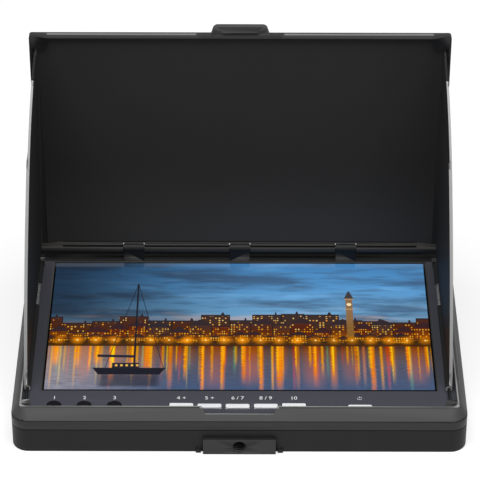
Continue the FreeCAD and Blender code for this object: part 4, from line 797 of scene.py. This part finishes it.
def standby_sign(x, y):
    """The common sign of a power key: an open ring and a bar."""
    bpy.ops.object.select_all(action="DESELECT")
    start = (x + SIGN_RADIUS * 0.57, y + SIGN_RADIUS * 0.82, MARK_LEVEL)
    bpy.ops.mesh.primitive_circle_add(vertices=4, radius=SIGN_LINE, fill_type="NGON",
                                      location=start, rotation=ROUND)
    ring = bpy.context.object
    bpy.ops.object.transform_apply(location=True, rotation=True, scale=True)
    turn = {"steps": 20, "angle": math.radians(SIGN_TURN), "center": (x, y, BEZEL), "axis": (0.0, 0.0, 1.0)}
    edit_all((bpy.ops.mesh.spin, turn),
             (bpy.ops.mesh.normals_make_consistent, {"inside": False}))
    bar = (x, y + SIGN_RADIUS * 0.75, MARK_LEVEL)
    bpy.ops.mesh.primitive_cube_add(size=1.0, location=bar, scale=SIGN_BAR)
    return [ring, bpy.context.object]


marks = [mark(text, x * MM, MARK_Y, MARK_SIZE) for text, x in MARKS]
marks += standby_sign((POWER_LOW.x + POWER_HIGH.x) / 2, MARK_Y)
only(marks[0])
for piece in marks:
    piece.select_set(True)
bpy.ops.object.join()
settle(bpy.context.object, "bezel_marks", "case", MARK_WHITE)

# Floor, light and camera
WHITE = (1.0, 1.0, 1.0)
FLOOR_TONE = (0.5, 0.5, 0.5)
FLOOR_GLOW = 0.6
SOFT_LIGHT = 0.15
WHITE_LIGHT = 1.0
TOP_LAMP = {"place": (0.0, -0.3, 1.2), "aim": (0.0, 0.0, 0.05), "width": 1.3, "depth": 0.8, "power": 16.0}


def floor():
    """A plain pale floor that stays white in the picture and keeps the object's shadow."""
    bpy.ops.object.select_all(action="DESELECT")
    bpy.ops.mesh.primitive_plane_add(size=30.0, location=(0.0, 0.0, 0.0))
    ground = bpy.context.object
    ground.name = "floor"
    finish = Finish("floor_white")
    seen = finish.node("LightPath", None, None, "Is Camera Ray")
    glossy = finish.node("LightPath", None, None, "Is Glossy Ray")
    through = finish.node("LightPath", None, None, "Is Transmission Ray")
    glow = seen.greater(glossy).greater(through) * FLOOR_GLOW
    material = finish.surface(Base_Color=FLOOR_TONE, Roughness=0.9, Emission_Color=WHITE,
                              Emission_Strength=glow)
    ground.data.materials.append(material)


def studio():
    """Soft light from all round, and plain white where the camera or a reflection looks."""
    world = bpy.data.worlds.new("studio")
    bpy.context.scene.world = world
    world.use_nodes = True
    tree = world.node_tree
    tree.nodes.clear()
    path = tree.nodes.new("ShaderNodeLightPath")
    choose = tree.nodes.new("ShaderNodeMixShader")
    for number, strength in ((1, SOFT_LIGHT), (2, WHITE_LIGHT)):
        light = tree.nodes.new("ShaderNodeBackground")
        light.inputs["Color"].default_value = (*WHITE, 1.0)
        light.inputs["Strength"].default_value = strength
        tree.links.new(light.outputs[0], choose.inputs[number])
    most = path.outputs["Is Camera Ray"]
    for other in ("Is Glossy Ray", "Is Transmission Ray"):
        larger = tree.nodes.new("ShaderNodeMath")
        larger.operation = "MAXIMUM"
        tree.links.new(most, larger.inputs[0])
        tree.links.new(path.outputs[other], larger.inputs[1])
        most = larger.outputs[0]
    tree.links.new(most, choose.inputs[0])
    output = tree.nodes.new("ShaderNodeOutputWorld")
    tree.links.new(choose.outputs[0], output.inputs[0])


def lamp(name, place, aim, width, depth, power):
    """A soft rectangular lamp that points at a place."""
    bpy.ops.object.light_add(type="AREA", location=place)
    light = bpy.context.object
    light.name = name
    light.data.shape = "RECTANGLE"
    light.data.size = width
    light.data.size_y = depth
    light.data.energy = power
    light.rotation_mode = "QUATERNION"
    light.rotation_quaternion = (Vector(aim) - Vector(place)).to_track_quat("-Z", "Y")


def camera():
    """The photograph's camera."""
    bpy.ops.object.camera_add(location=CAMERA_PLACE)
    made = bpy.context.object
    made.data.lens = LENS
    made.data.sensor_width = SENSOR
    made.data.clip_start = NEAREST
    made.data.clip_end = FARTHEST
    tilt = Matrix.Rotation(math.radians(90.0 - CAMERA_PITCH), 4, "X")
    roll = Matrix.Rotation(math.radians(CAMERA_ROLL), 4, "Z")
    made.rotation_euler = (tilt @ roll).to_euler()
    bpy.context.scene.camera = made


floor()
studio()
lamp("top_lamp", **TOP_LAMP)
camera()
bpy.context.scene.view_settings.view_transform = "Standard"
